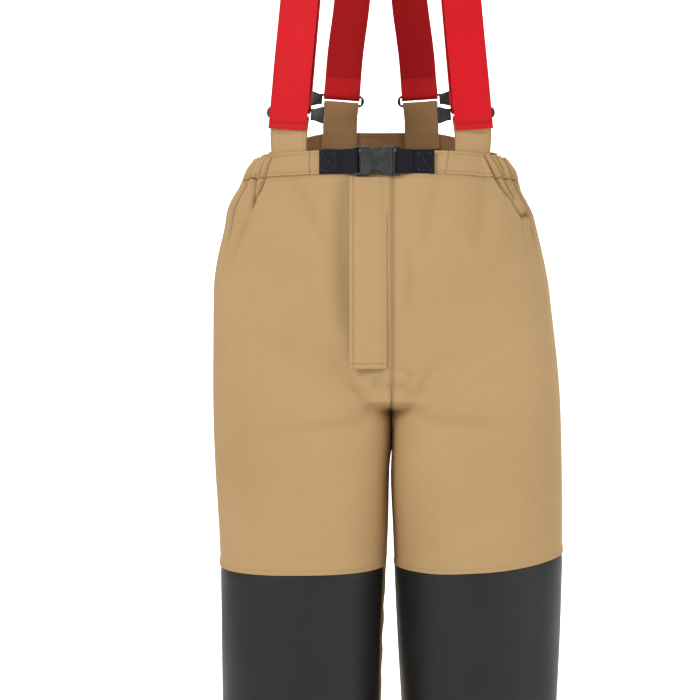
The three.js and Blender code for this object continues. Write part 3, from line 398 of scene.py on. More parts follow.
class Value:
    """A socket of a material, with arithmetic written as Python."""

    def __init__(self, finish, socket):
        self.finish, self.socket = finish, socket

    def math(self, operation, *values):
        return self.finish.node("ShaderNodeMath", {"operation": operation}, *values)

    def __add__(self, other):
        return self.math("ADD", self, other)

    def __sub__(self, other):
        return self.math("SUBTRACT", self, other)

    def __mul__(self, other):
        return self.math("MULTIPLY", self, other)

    def __rsub__(self, other):
        return self.math("SUBTRACT", other, self)

    def __pow__(self, other):
        return self.math("POWER", self, other)

    __radd__ = __add__
    __rmul__ = __mul__

    def waves(self, pitch):
        """From 0 to 1 and back over each pitch."""
        return self.math("SINE", self * (2 * pi / pitch)) * 0.5 + 0.5

    def within(self, start, end, soft):
        """1 between start and end, and 0 outside them."""
        rising = self.finish.between(self, start - soft, start + soft)
        return rising * (1 - self.finish.between(self, end - soft, end + soft))


class Finish:
    """A node material of one principled shader."""

    def __init__(self, name, roughness, **sockets):
        self.material = bpy.data.materials.new(name)
        self.material.use_nodes = True
        self.tree = self.material.node_tree
        self.shader = self.tree.nodes["Principled BSDF"]
        self.shader.inputs["Roughness"].default_value = roughness
        for socket, value in sockets.items():
            self.shader.inputs[socket.replace("_", " ")].default_value = value

    def node(self, kind, settings, *values, output=0, **named):
        made = self.tree.nodes.new(kind)
        for setting, value in settings.items():
            setattr(made, setting, value)
        for socket, value in [*enumerate(values), *named.items()]:
            self.join(value, made.inputs[socket])
        return Value(self, made.outputs[output])

    def join(self, value, socket):
        if isinstance(value, Value):
            self.tree.links.new(value.socket, socket)
        else:
            socket.default_value = value

    def color(self, share, dark, light):
        made = self.tree.nodes.new("ShaderNodeMix")
        made.data_type = "RGBA"
        factor, first, second = (made.inputs[i] for i in (0, 6, 7))  # those of the colour type
        self.join(share, factor)
        self.join(dark, first)
        self.join(light, second)
        return Value(self, made.outputs[2])

    def noise(self, scale, detail=3, rough=0.55, stretch=None):
        where = self.node("ShaderNodeTexCoord", {}, output="Object")
        if stretch:
            where = self.node("ShaderNodeMapping", {}, Vector=where, Scale=stretch)
        sockets = {"Vector": where, "Scale": scale, "Detail": detail, "Roughness": rough}
        return self.node("ShaderNodeTexNoise", {}, **sockets)

    def across(self):
        """Metres across the cloth, as it was cut."""
        where = self.node("ShaderNodeTexCoord", {}, output="UV")
        return self.node("ShaderNodeSeparateXYZ", {}, where, output="X")

    def along(self):
        """Metres along it."""
        where = self.node("ShaderNodeTexCoord", {}, output="UV")
        return self.node("ShaderNodeSeparateXYZ", {}, where, output="Y")

    def between(self, value, start, end, least=0.0, most=1.0):
        """The value's stretch from start to end, spread from least to most."""
        return self.node("ShaderNodeMapRange", {"clamp": True}, value, start, end, least, most)

    def attribute(self, name):
        return self.node("ShaderNodeAttribute", {"attribute_name": name}, output="Fac")

    def feed(self, socket, value):
        self.tree.links.new(value.socket, self.shader.inputs[socket])

    def bump(self, height, distance, strength):
        sockets = {"Strength": strength, "Distance": distance, "Height": height}
        self.feed("Normal", self.node("ShaderNodeBump", {}, **sockets))


def rgb(red, green, blue):
    """A colour given in ordinary display values, as the shader's linear ones."""
    shown = (red, green, blue)
    return (*(((c / 255 + 0.055) / 1.055) ** 2.4 if c > 10 else c / 3295 for c in shown), 1)


def brushed(name, light, dark, deep):
    """Brushed softshell: short matt nap, faint mottling, and painted shade in the creases."""
    finish = Finish(
        name, 0.8, Sheen_Weight=0.12, Sheen_Roughness=0.5, Sheen_Tint=light, Specular_IOR_Level=0.25
    )
    mottle = finish.noise(7, 4)
    nap = finish.noise(850, 3, 0.7)
    slub = finish.noise(60, 3, 0.6, stretch=(9, 9, 1))
    shade = finish.between(mottle * 0.5 + nap * 0.3 + slub * 0.2, 0.36, 0.64)
    even = finish.color(shade, dark, light)
    # painted shade: where the crease attribute is high, the colour turns to the deep one
    finish.feed("Base Color", finish.color(finish.attribute("crease_shade"), even, deep))
    finish.feed("Roughness", finish.between(nap, 0.3, 0.7, 0.72, 0.88))
    finish.bump(nap * 0.6 + finish.noise(240, 2) * 0.4, 0.00035, 0.5)
    return finish.material


# the third colour of each finish is the painted shade in its creases
tan_cloth = brushed("tan_softshell", rgb(190, 157, 112), rgb(180, 147, 102), rgb(120, 90, 56))
# the inside is a darker brown: partly the cloth's own back, partly painted shade of the inside
inner_cloth = brushed("softshell_inside", rgb(150, 114, 78), rgb(134, 100, 66), rgb(92, 66, 42))
shell_faces = [tan_cloth, inner_cloth]  # outside and inside
SIDES = {"left": 1, "right": -1}
KNEE_SEAM, KNEE_SEAM_CLIMB, KNEE_SEAM_DIP = 546, 16, 2
ABOVE_CUFF = CUFF_LEVEL + 0.5 / INSEAM
CROWDING = 0.8


def knee_seam(side, girth):
    """Level of the seam over the black panel, which climbs to the side on the left leg."""
    climb = KNEE_SEAM_CLIMB * smooth(girth, 0.15, 0.5) if side > 0 else 0
    dip = KNEE_SEAM_DIP * np.sin(2 * pi * np.minimum(girth, 0.5)) ** 2
    return (KNEE_SEAM + climb - dip) / INSEAM - 1


def crowded(low, high, v):
    """Levels from low to high whose rows crowd towards the crotch."""
    spread = mix(signed_power(low, CROWDING), signed_power(high, CROWDING), v)
    return signed_power(spread, 1 / CROWDING)


def eased(at, inset=0):
    """The cloth's places with the sharp turn at the crotch rounded off, and drawn flat over it
    in front."""
    at = at.copy()
    for _ in range(14):
        share = 0.5 * hump(at[1:-1, :, 2] - INSEAM, 16)[..., None]
        at[1:-1] += share * ((at[:-2] + at[2:]) / 2 - at[1:-1])
    x, y, z = np.moveaxis(at, -1, 0)
    thigh, belly = LEG_CHART[-1, LEG_FRONT], BODY_CHART[0, BODY_FRONT]
    flat = inset - mix(thigh, belly, smooth(z, INSEAM, INSEAM + 90))
    share = np.where(y < 0, hump(x - FLY_SEAM, 52) * smooth(z, INSEAM - 2, INSEAM + 13), 0)
    at[..., 1] += share * (np.minimum(y, flat) - y)
    return at


HALF_GIRTH = 620  # a girth of 1, in millimetres
PLEATS, BROAD_PLEATS = 43, 21  # of the elastic, round half the waist
# Creases as runs of (girth, height), each with its depth and half width in millimetres.
CREASES = {
    1: [
        ([(0.270, 1075), (0.288, 1052), (0.310, 1030), (0.330, 1016)], 4.6, 3.8),
        ([(0.300, 1077), (0.322, 1048), (0.345, 1022)], 3.6, 3.6),
        ([(0.322, 1012), (0.345, 999), (0.375, 1001), (0.400, 1014)], 3.4, 4.0),
        ([(0.370, 1076), (0.385, 1030), (0.385, 975)], 3.2, 6.0),
        ([(0.026, 955), (0.028, 920), (0.024, 880)], 1.1, 9.0),
        ([(0.008, 806), (0.026, 797), (0.040, 795)], 0.6, 4.5),
        ([(0.008, 786), (0.026, 775), (0.045, 772)], 0.5, 4.5),
        ([(0.250, 1046), (0.205, 1010), (0.170, 960)], 1.6, 15.0),
        ([(0.120, 1046), (0.080, 1010), (0.055, 950)], 1.2, 14.0),
        ([(0.30, 735), (0.20, 742), (0.12, 757)], 1.3, 13.0),
    ],
    -1: [
        ([(0.292, 1077), (0.298, 1040), (0.297, 1008)], 4.6, 3.6),
        ([(0.345, 1048), (0.320, 1030), (0.299, 1012)], 4.2, 3.8),
        ([(0.318, 1077), (0.326, 1056), (0.332, 1040)], 3.4, 3.6),
        ([(0.300, 1004), (0.318, 975), (0.335, 945)], 1.6, 10.0),
        ([(0.375, 1077), (0.385, 1030), (0.380, 970)], 3.2, 6.0),
        ([(0.074, 1030), (0.066, 940), (0.060, 860)], 3.0, 13.0),
        ([(0.200, 1044), (0.140, 1012), (0.095, 960)], 1.8, 16.0),
        ([(0.008, 800), (0.020, 790), (0.026, 778)], 0.8, 3.6),
        ([(0.28, 728), (0.18, 740), (0.10, 760)], 1.5, 14.0),
    ],
}


def crease_lines(girth, height, runs):
    """Depth of the cloth along each run, with a ridge on both its sides, and the shade painted into it,
    deeper where it is sharp.
    """
    raised = wear_and_shade = 0
    x = girth * HALF_GIRTH
    for run, depth, wide in runs:
        points = np.array([(g * HALF_GIRTH, z) for g, z in run], float)
        lengths = np.linalg.norm(np.diff(points, axis=0), axis=1)
        nearest, share = np.full(np.shape(x), 1e9), np.zeros(np.shape(x))
        for i, (start, end) in enumerate(zip(points[:-1], points[1:])):
            run_x, run_z = end - start
            t = ((x - start[0]) * run_x + (height - start[1]) * run_z) / lengths[i] ** 2
            t = np.clip(t, 0, 1)
            away = np.hypot(x - mix(start[0], end[0], t), height - mix(start[1], end[1], t))
            share = np.where(away < nearest, (lengths[:i].sum() + t * lengths[i]) / lengths.sum(), share)
            nearest = np.minimum(away, nearest)
        strength = depth * (0.25 + 0.75 * np.sin(pi * np.clip(share * 0.92 + 0.04, 0, 1)) ** 0.7)
        raised = raised + strength * (0.55 * hump(nearest - 2.1 * wide, 1.1 * wide) - hump(nearest, wide))
        wear_and_shade = wear_and_shade + hump(nearest, 0.6 * wide) * strength * 1.2 / wide
    return raised, wear_and_shade


def gathers(girth, count, seed):
    """Uneven pleats of the elastic stretch, from -1 in a valley to 1 on a ridge."""
    uneven = girth + 0.0045 * np.sin(girth * 61 + seed) + 0.003 * np.sin(girth * 133 + 2 * seed)
    pleat = np.abs(np.sin(pi * uneven * count + seed))
    inside = smooth(girth, 0.325, 0.355) * (1 - smooth(girth, 0.645, 0.675))
    return (2 * pleat**0.8 - 1.2) * inside


def drape(side, girth, at):
    """How far cloth stands out of its pattern at a place on the trousers, and how much shade is painted
    into its creases.
    """
    height = at[..., 2]
    below = np.maximum(seam_height(girth) - height, 0)
    front = girth < 0.5
    near_waist, further = np.exp(-below / 26), np.exp(-below / 95)
    pleats, broad = gathers(girth, PLEATS, 1.0 + side), gathers(girth, BROAD_PLEATS, 2.0 + side)
    raised = pleats * (2.7 * near_waist + 0.7 * further) + broad * 2.6 * further
    x = np.abs(at[..., 0] - stance(height))
    calm = 1 - 0.9 * hump(x, 60) * front * smooth(height, 770, 800)
    raised = raised + 2.6 * ripple(at, 150, 11 + side, (1, 1, 2.6)) * smooth(below, 20, 140) * calm
    lines, wear_and_shade = crease_lines(girth, np.where(front, height, 0), CREASES[side])
    raised = raised + lines
    if side < 0:
        # the right side bags out below the elastic, and over the thigh
        raised = raised + 5.5 * hump(girth - 0.43, 0.1) * hump(height - 1022, 24)
        raised = raised + 4.5 * hump(girth - 0.48, 0.16) * hump(height - 690, 105)
    # folds behind the knees and under the seat
    behind = smooth(girth, 0.56, 0.7) * (1 - smooth(girth, 0.9, 1))
    slant = height + 110 * np.abs(girth - 0.78)
    raised = raised + 2.8 * hump(height - 455, 75) * behind * np.sin(slant * 2 * pi / 43 + side)
    raised = raised + 2.6 * hump(height - 735, 42) * behind * np.sin((slant + 40 * girth) * 2 * pi / 47)
    # creases fanning out of the crotch at the back
    reach = np.hypot(x - 4, (height - INSEAM - 8) * 0.8)
    fan = np.arctan2(x, np.abs(height - INSEAM) + 1)
    fanned = np.where(front, 0.35, 2.0) * hump(reach - 34, 26)
    raised = raised + fanned * np.sin(fan * 9 + reach / 14 + side)
    # the ankles break over the cuff
    raised = raised + 1.8 * hump(height - 84, 26) * np.sin(height * 2 * pi / 30 + girth * 9 + side)
    # painted shade in the valleys of the pleats
    wear_and_shade = wear_and_shade + 0.45 * np.clip(-pleats, 0, 1) * near_waist
    return raised, wear_and_shade


def seamed(patch, *edges):
    """The dip along each sewn edge with the soft roll beside it, and its shadow."""
    raised = wear_and_shade = 0
    for edge in edges:
        away = getattr(patch, edge)
        raised = raised - 1.1 * hump(away, 2.6) + 0.35 * hump(away - 6, 3)
        wear_and_shade = wear_and_shade + 0.4 * hump(away, 1.5)
    return raised, wear_and_shade


# One stitch is modelled, then laid all along the seams.
bpy.ops.object.select_all(action="DESELECT")
bpy.ops.mesh.primitive_uv_sphere_add(segments=5, ring_count=4, radius=1)
one_stitch = bpy.context.object
stitch_corners = np.array([signed_power(np.array(corner.co), 0.75) for corner in one_stitch.data.vertices])
stitch_faces = [list(face.vertices) for face in one_stitch.data.polygons]
bpy.data.objects.remove(one_stitch)


def stitches(name, lines, thread, rider=body, long=2.7, apart=1.0, thick=0.55):
    """Thread along runs of places and outward directions, sunk halfway into the cloth."""
    corners = []
    for places, out in lines:
        run = np.pad(np.cumsum(np.linalg.norm(np.diff(places, axis=0), axis=1)), (1, 0))
        count = max(1, int(run[-1] / (long + apart)))
        starts = (np.arange(count) + 0.5) * run[-1] / count
        at, ahead, back, facing = (
            np.stack([np.interp(starts + shift, run, of[:, i]) for i in range(3)], 1)
            for of, shift in ((places, 0), (places, 1.2), (places, -1.2), (out, 0))
        )
        heading = ahead - back
        heading /= np.maximum(np.linalg.norm(heading, axis=1, keepdims=True), 1e-9)
        aside = np.cross(facing, heading)
        aside /= np.maximum(np.linalg.norm(aside, axis=1, keepdims=True), 1e-9)
        basis = np.stack([aside * thick / 2, facing * thick / 2, heading * long / 2], 1)
        laid = at + facing * thick * 0.12
        corners.append(np.einsum("ck,nki->nci", stitch_corners, basis) + laid[:, None])
    corners = np.concatenate(corners)
    each = len(stitch_corners)
    faces = [[i * each + k for k in face] for i in range(len(corners)) for face in stitch_faces]
    mesh = bpy.data.meshes.new(name)
    mesh.from_pydata(((corners.reshape(-1, 3) + origin) * mm).tolist(), [], faces)
    mesh.materials.append(thread)
    piece = bpy.data.objects.new(name, mesh)
    bpy.context.collection.objects.link(piece)
    bpy.ops.object.select_all(action="DESELECT")
    bpy.context.view_layer.objects.active = piece
    piece.select_set(True)
    bpy.ops.object.shade_smooth()
    if rider:
        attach(piece, rider)
    return piece


def spun(name, light, dark):
    """Twisted sewing thread."""
    finish = Finish(name, 0.62, Sheen_Weight=0.2)
    twist = finish.noise(1400, 2)
    finish.feed("Base Color", finish.color(twist, dark, light))
    finish.bump(twist, 0.0001, 0.5)
    return finish.material


tan_thread = spun("tan_thread", rgb(188, 150, 98), rgb(150, 114, 70))
dark_thread = spun("black_thread", rgb(52, 52, 54), rgb(26, 26, 28))


def line(patch, raised, distance, edge, start=0.0, end=1.0, lift=SHELL_CLOTH / 2):
    """A stitching line at a distance inside one edge of a patch, over the cloth's outer face."""
    raised = np.broadcast_to(np.asarray(raised, float), patch.left.shape)
    runs, facing = getattr(patch, edge), patch.out
    surface = patch.at + facing * (raised + lift)[..., None]
    if edge in ("low", "high"):
        runs, surface, facing = runs.T, surface.transpose(1, 0, 2), facing.transpose(1, 0, 2)
    places, out = [], []
    last = len(runs) - 1
    taken = slice(round(start * last), round(end * last) + 1)
    for run, where, outward in zip(runs[taken], surface[taken], facing[taken]):
        order = np.argsort(run)
        places.append([np.interp(distance, run[order], where[order, i]) for i in range(3)])
        out.append([np.interp(distance, run[order], outward[order, i]) for i in range(3)])
    return np.array(places), np.array(out)


seam_lines = []
for name, side in SIDES.items():
    for end in ("front", "back"):
        u, v = weave(84, 150 if end == "front" else 220)
        girth = 0.5 * u if end == "front" else 0.5 + 0.5 * u
        low = knee_seam(side, girth) if end == "front" else ABOVE_CUFF
        patch = Patch(eased(trousers(side, girth, crowded(low, 1.0, v))), side)
        # beside the middle seam the cloth is raised straight ahead, so its two halves stay apart
        inner = patch.left if end == "front" else patch.right
        patch.out[..., 0] *= mix(1, smooth(inner, 0, 9), smooth(patch.at[..., 2], INSEAM - 15, INSEAM))
        raised, crease_shade = drape(side, girth, patch.at)
        dips, shadows = seamed(patch, "left", "right", "high")
        raised, crease_shade = raised + dips, crease_shade + shadows
        if end == "front":
            # the turned hem over the black panel, and the topstitched step beside the fly
            raised = raised + 1.2 * (1 - smooth(patch.low, 7.5, 9)) - 0.4 * hump(patch.low - 5.5, 1)
            # painted shade along the fold of the hem
            crease_shade = crease_shade + 0.35 * hump(patch.low - 9, 1.1)
            seam_lines.append(line(patch, raised, 5.5, "low"))
            if side > 0:
                seam_lines.append(line(patch, raised, 3.5, "left", 0.52))
        else:
            seam_lines += [line(patch, raised, away, "left") for away in (3.0, 9.0)]
            if side > 0:
                seam_lines += [line(patch, raised, away, "right", 0.35) for away in (3.4, 8.4)]
        seam_lines.append(line(patch, raised, 4.0, "high"))
        panel = cloth(f"shell_{end}_panel_{name}", patch, raised, SHELL_CLOTH, shell_faces, crease_shade)
        declare(panel, patch, "gathered", [f"waistband_front_{name}"], "shell_cloth", f"shell_{end}_{name}")
stitches("shell_topstitching", seam_lines, tan_thread)


# ---- Lower leg panels ----
# Abrasion-proof coated black fabric over the knees and shins, its top edge tucked under the
# tan hem and its sides sewn into the side seam and the inseam.
def coated(name, light, dark):
    """Tight plain weave under a thin coating, with a soft sheen."""
    finish = Finish(name, 0.5, Specular_IOR_Level=0.4, Coat_Roughness=0.45)
    cells = finish.across().waves(0.0011) * finish.along().waves(0.0011)
    wear_and_shade = finish.noise(11, 4)
    share = finish.between(wear_and_shade, 0.35, 0.65)
    even = finish.color(share * 0.7 + cells * 0.3, dark, light)
    # painted shade: the creases darken toward near black
    finish.feed("Base Color", finish.color(finish.attribute("crease_shade"), even, rgb(18, 18, 18)))
    finish.feed("Roughness", finish.between(wear_and_shade, 0.3, 0.7, 0.44, 0.58))
    finish.bump(cells * 0.7 + finish.noise(420, 2) * 0.3, 0.00022, 0.45)
    return finish.material


black_panel = coated("black_coated_fabric", rgb(30, 30, 30), rgb(25, 25, 25))
panel_lines = []
for name, side in SIDES.items():
    u, v = weave(84, 110)
    girth = 0.5 * u
    top = knee_seam(side, girth) + 6 / INSEAM
    patch = Patch(trousers(side, girth, mix(ABOVE_CUFF, top, v)), side)
    raised, crease_shade = drape(side, girth, patch.at)
    dips, shadows = seamed(patch, "left", "right")
    raised = raised + dips - 1.9 * (1 - smooth(patch.high, 5, 12))
    # painted shade along the top edge, where it tucks under the tan hem
    crease_shade = crease_shade + shadows + 0.5 * (1 - smooth(patch.high, 5, 8))
    panel = cloth(f"lower_leg_{name}", patch, raised, SHELL_CLOTH, [black_panel], crease_shade)
    declare(panel, patch, "hung", [f"shell_front_{name}"], "leg_panel", f"lower_leg_panel_{name}")
    for edge in ("left", "right"):
        panel_lines += [line(patch, raised, away, edge, 0, 0.97) for away in (3.2, 8.6)]
    panel_lines.append(line(patch, raised, 4.0, "low"))
    # the ends of the darts that shape the knee
    for height in (438, 452):
        row = int(np.argmin(np.abs(patch.at[:, 60, 2] - height)))
        places = (patch.at + patch.out * (raised + SHELL_CLOTH / 2)[..., None])[row]
        for part in (slice(4, 15), slice(70, 81)):
            panel_lines.append((places[part], patch.out[row][part]))
stitches("leg_panel_stitching", panel_lines, dark_thread)

# ---- Cuffs ----
# Each hem is bound in doubled black coated cloth, folded under at the floor and sewn through.
FLOOR_GAP, CUFF_CLOTH = 1.2, 3.4
cuff_cloth = coated("black_cuff_binding", rgb(34, 34, 35), rgb(28, 28, 29))
cuff_lines = []
for name, side in SIDES.items():
    u, v = weave(150, 14)
    at = trousers(side, u, -1.0)
    at[..., 2] = mix(FLOOR_GAP, CUFF, v)
    patch = Patch(at, side, ring=True)
    around = 2 * pi * u
    raised = 0.5 * np.sin(5 * around + side) * (1 - v) + 0.35 * np.sin(11 * around) * (1 - 0.5 * v)
    raised = raised - 0.5 * hump(patch.low - 6, 1.2) - 0.5 * hump(patch.high - 5, 1.2)
    # painted shade along both stitching grooves
    crease_shade = 0.4 * hump(patch.low - 6, 1.2) + 0.4 * hump(patch.high - 5, 1.2)
    cuff = cloth(f"leg_cuff_{name}", patch, raised, CUFF_CLOTH, [cuff_cloth], crease_shade, rim=1.3, ring=True)
    declare(cuff, patch, "folded", [f"lower_leg_panel_{name}"], "cuff_binding", f"cuff_{name}")
    for edge, away in (("low", 6.0), ("high", 5.0)):
        cuff_lines.append(line(patch, raised, away, edge, lift=CUFF_CLOTH / 2))
stitches("cuff_stitching", cuff_lines, dark_thread)

# ---- Reflective trim ----
# A lime fluorescent tape with a silver retroreflective stripe of glass beads, sewn on round
# each shin along both its edges.
TRIM_LOW, TRIM_WIDE, TRIM_THICK = 112, 76, 1.1
trim = Finish("reflective_tape", 0.5, Coat_Roughness=0.2)
up_tape = trim.along()
silver = up_tape.within(22.5 * mm, 53.5 * mm, 0.3 * mm)
beads = trim.noise(2600, 1)
lime = trim.color(up_tape.waves(0.0012) * 0.5 + beads * 0.5, rgb(188, 205, 40), rgb(214, 228, 70))
glass = trim.color(beads, rgb(176, 178, 180), rgb(206, 208, 210))
trim.feed("Base Color", trim.color(silver, lime, glass))
trim.feed("Metallic", silver * 0.75)
trim.feed("Roughness", 0.62 - silver * 0.3)
trim.bump(beads * 0.4 + silver * 0.6, 0.00015, 0.5)
lime_thread = spun("lime_thread", rgb(204, 216, 74), rgb(168, 182, 44))
trim_lines = []
for name, side in SIDES.items():
    u, v = weave(168, 26)
    patch = Patch(trousers(side, u, (TRIM_LOW + v * TRIM_WIDE) / INSEAM - 1), side, ring=True)
    folds, crease_shade = drape(side, u, patch.at)
    folds[:, 0] = folds[:, -1] = (folds[:, 0] + folds[:, -1]) / 2
    raised = folds + 2.5 - 0.35 * (hump(patch.low - 2.5, 1.2) + hump(patch.high - 2.5, 1.2))
    tape = cloth(
        f"reflective_band_{name}", patch, raised, TRIM_THICK, [trim.material], crease_shade, rim=0.25, ring=True
    )
    under = [f"lower_leg_panel_{name}"]
    declare(tape, patch, "stretched", under, "reflective_tape", f"reflective_trim_{name}")
    for edge in ("low", "high"):
        trim_lines.append(line(patch, raised, 2.5, edge, lift=TRIM_THICK / 2))
stitches("trim_stitching", trim_lines, lime_thread)

# ---- Knee pads ----
# Closed-cell foam sheets in pockets behind the leg panels, scored so that they bend.
KNEE_PAD_DROP, KNEE_PAD_TALL = 20, 190
foam = Finish("closed_cell_foam", 0.9, Specular_IOR_Level=0.2)
cells = foam.noise(700, 3, 0.7)
open_cells = foam.between(cells, 0.35, 0.65)
foam.feed("Base Color", foam.color(open_cells, rgb(112, 112, 106), rgb(148, 148, 140)))
foam.bump(cells, 0.0004, 0.7)
for name, side in SIDES.items():
    u, v = weave(60, 50)
    girth = mix(0.1, 0.4, u)
    height = KNEE_SEAM - KNEE_PAD_DROP - KNEE_PAD_TALL * (1 - v)
    patch = Patch(trousers(side, girth, height / INSEAM - 1), side)
    edge = patch.nearest()
    scored = 0.7 * (hump((patch.low % 38) - 19, 1.6) + hump((patch.left % 34) - 17, 1.6))
    raised = drape(side, girth, patch.at)[0] - 3.9 - scored - 0.8 * (1 - smooth(edge, 0, 5))
    pad = cloth(f"knee_foam_{name}", patch, raised, 3.2, [foam.material], rim=1.2)
    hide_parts(f"knee_pad_{name}")

# ---- Moisture barrier and thermal liner ----
# Inside each leg hang a thin laminated film and a quilted liner, sewn in at the waist and
# ending short of the hem.
film = Finish("moisture_film", 0.42, Specular_IOR_Level=0.5)
crinkle = film.noise(55, 5, 0.65)
film.feed("Base Color", film.color(crinkle, rgb(206, 199, 178), rgb(232, 227, 212)))
film.bump(crinkle, 0.0012, 0.5)
quilt = Finish("quilted_liner", 0.88, Sheen_Weight=0.2)
DIAMOND = 38 * 2**0.5  # from a line of quilting to the next, along the cloth
slants = quilt.across() + quilt.along(), quilt.across() - quilt.along()
rising, falling = (slant.waves(DIAMOND * mm) ** 12 for slant in slants)
channel = quilt.between(rising + falling, 0, 1)
facing_cloth = quilt.color(quilt.noise(480, 3), rgb(196, 180, 128), rgb(214, 198, 150))
quilt.feed("Base Color", quilt.color(channel, facing_cloth, rgb(150, 134, 88)))
quilt.bump(quilt.across().waves(0.0016) * quilt.along().waves(0.0016), 0.0002, 0.5)
LINER_SHORT, LINER_TOP = 60, 0.97  # it ends this far above the hem and at this level
for name, side in SIDES.items():
    for layer_name, deep, close_in, thickness, finish, node, slot in (
        ("barrier_film", 9.0, 2.1, 0.7, film.material, "moisture_barrier", "moisture_film"),
        ("liner_quilt", 14.5, 4.75, 2.4, quilt.material, "thermal_liner", "quilted_liner"),
    ):
        u, v = weave(132, 190)
        girth = mix(0.003, 0.997, u)
        level = crowded(LINER_SHORT / INSEAM - 1, LINER_TOP, v)
        inset = mix(deep, close_in, smooth(level, 0.86, 0.96))
        patch = Patch(eased(trousers(side, girth, level, inset), inset), side)
        raised = drape(side, girth, trousers(side, girth, level))[0]
        if layer_name == "liner_quilt":
            rows = (patch.left + patch.low, patch.left - patch.low)
            puffed = np.minimum(*(np.abs(np.sin(pi * row / DIAMOND)) for row in rows))
            raised = raised - 0.9 * (1 - puffed**0.6)
        lining = cloth(f"{layer_name}_{name}", patch, raised, thickness, [finish], rim=0)
        declare(lining, patch, "hung", [f"waistband_front_{name}"], slot, f"{node}_{name}")

# ---- Waistband ----
# A doubled tan band: flat at the front, gathered over elastic at the sides and standing
# higher at the back, topstitched along both its edges.
BAND_CLOTH, BAND_GAP = 3.0, 0.3
FRONT_END, BACK_START = 0.33, 0.67
elastic_weave = Finish("ribbed_elastic", 0.8, Sheen_Weight=0.15)
ribs = elastic_weave.along().waves(0.0022)
cords = elastic_weave.across().waves(0.0009)
elastic_weave.feed("Base Color", elastic_weave.color(ribs, rgb(196, 190, 172), rgb(228, 223, 208)))
elastic_weave.bump(ribs * 0.7 + cords * 0.3, 0.0004, 0.6)


def band_level(v):
    """From just over the seam with the shell to the waistband's top."""
    return mix(1 + BAND_GAP / BAND, 2, v)


def drawn_in(girth, height):
    """How far the gathered top edge draws inward over the hips."""
    return 6.5 * height**1.5 * hump(girth - 0.44, 0.16)


def band_shape(side, girth, patch):
    """Rolled edges, a sunken stitching line near each with painted shade along it, and the pleats of the
    elastic.
    """
    folds, crease_shade = drape(side, girth, patch.at)
    pleats = gathers(girth, PLEATS, 1.0 + side)
    quarter = hump(np.minimum(patch.low, patch.high), 2.6)
    raised = folds - 0.5 * quarter - 0.45 * (hump(patch.low - 4, 1) + hump(patch.high - 4, 1))
    raised = raised + 0.5 * ripple(patch.at, 26, 31 + side, (1, 1, 2)) - 0.5 * np.abs(pleats) * quarter
    raised = raised - drawn_in(girth, smooth(patch.low, 8, 30))
    return raised, crease_shade + 0.25 * (hump(patch.low - 4, 0.9) + hump(patch.high - 4, 0.9))


band_lines = []
for name, side in SIDES.items():
    parts = (("front", 0.0, FRONT_END, 110), ("side", FRONT_END, BACK_START, 170))
    for part, start, end, columns in parts:
        u, v = weave(columns, 18)
        girth = mix(start, end, u)
        patch = Patch(trousers(side, girth, band_level(v)), side)
        raised, crease_shade = band_shape(side, girth, patch)
        if part == "front":
            # a join beyond the end of the belt, upright on the right and slanting on the left
            join = 89 if side < 0 else 83 + 0.16 * (patch.at[..., 2] - WAIST_TOP + BAND / 2)
            away = np.abs(patch.at[..., 0]) - join
            step = 0.4 * smooth(away, 0, 3) * (1 - smooth(away, 3, 20))
            raised = raised - 0.9 * hump(away, 1.3) + step
            # painted shade in the join
            crease_shade = crease_shade + 0.5 * hump(away, 1.0)
        raised = raised - 0.8 * hump(np.minimum(patch.left, patch.right), 1.6)
        band = cloth(f"band_{part}_{name}", patch, raised, BAND_CLOTH, shell_faces, crease_shade, rim=1.1)
        held = "stretched" if part == "front" else "gathered"
        declare(band, patch, held, [f"shell_front_{name}"], "shell_cloth", f"waistband_{part}_{name}")
        for edge in ("low", "high"):
            band_lines.append(line(patch, raised, 4.0, edge, lift=BAND_CLOTH / 2))
    u, v = weave(150, 12)
    girth = mix(FRONT_END + 0.02, BACK_START - 0.02, u)
    patch = Patch(trousers(side, girth, mix(1.15, 1.85, v)), side)
    raised = drape(side, girth, patch.at)[0] - 3.3 - drawn_in(girth, smooth(patch.low, 5, 27))
    strip = cloth(f"gathering_elastic_{name}", patch, raised, 1.1, [elastic_weave.material], rim=0.2)
    declare(strip, patch, "stretched", [f"waistband_side_{name}"], "elastic", f"waist_elastic_{name}")

u, v = weave(200, 18)
girth = 1 - np.abs(2 * u - 1) * (1 - BACK_START)
right_half, left_half = (trousers(side, girth, band_level(v)) for side in (-1, 1))
patch = Patch(np.where((u < 0.5)[..., None], right_half, left_half), -1)
right_folds, left_folds = (band_shape(side, girth, patch) for side in (-1, 1))
share = smooth(u, 0.42, 0.58)
raised = mix(right_folds[0], left_folds[0], share) + 0.9 * ripple(patch.at, 44, 5, (1, 1, 2.2))
band = cloth("band_back", patch, raised, BAND_CLOTH, shell_faces, left_folds[1], rim=1.1)
declare(band, patch, "hung", ["shell_back_left", "shell_back_right"], "shell_cloth", "waistband_back")
for edge in ("low", "high"):
    band_lines += [line(patch, raised, 4.0, edge, lift=lift) for lift in (BAND_CLOTH / 2, -BAND_CLOTH / 2)]
stitches("waistband_topstitching", band_lines, tan_thread)

# ---- Fly ----
# A flap of doubled shell cloth, sewn down along its left edge and closed by a touch fastener,
# with a facing behind the opening.
BELT_DROP, HOUSING_TALL = 15, 36
FLAP_EDGE, FLAP_WIDTH, FLAP_LENGTH = 8.5, 47.5, 238
FLAP_TOP = WAIST_TOP - BELT_DROP - HOUSING_TALL / 2 - 2
HOOK_LAYER, LOOP_LAYER, FLAP_LAYER = 2.0, 4.0, 6.3


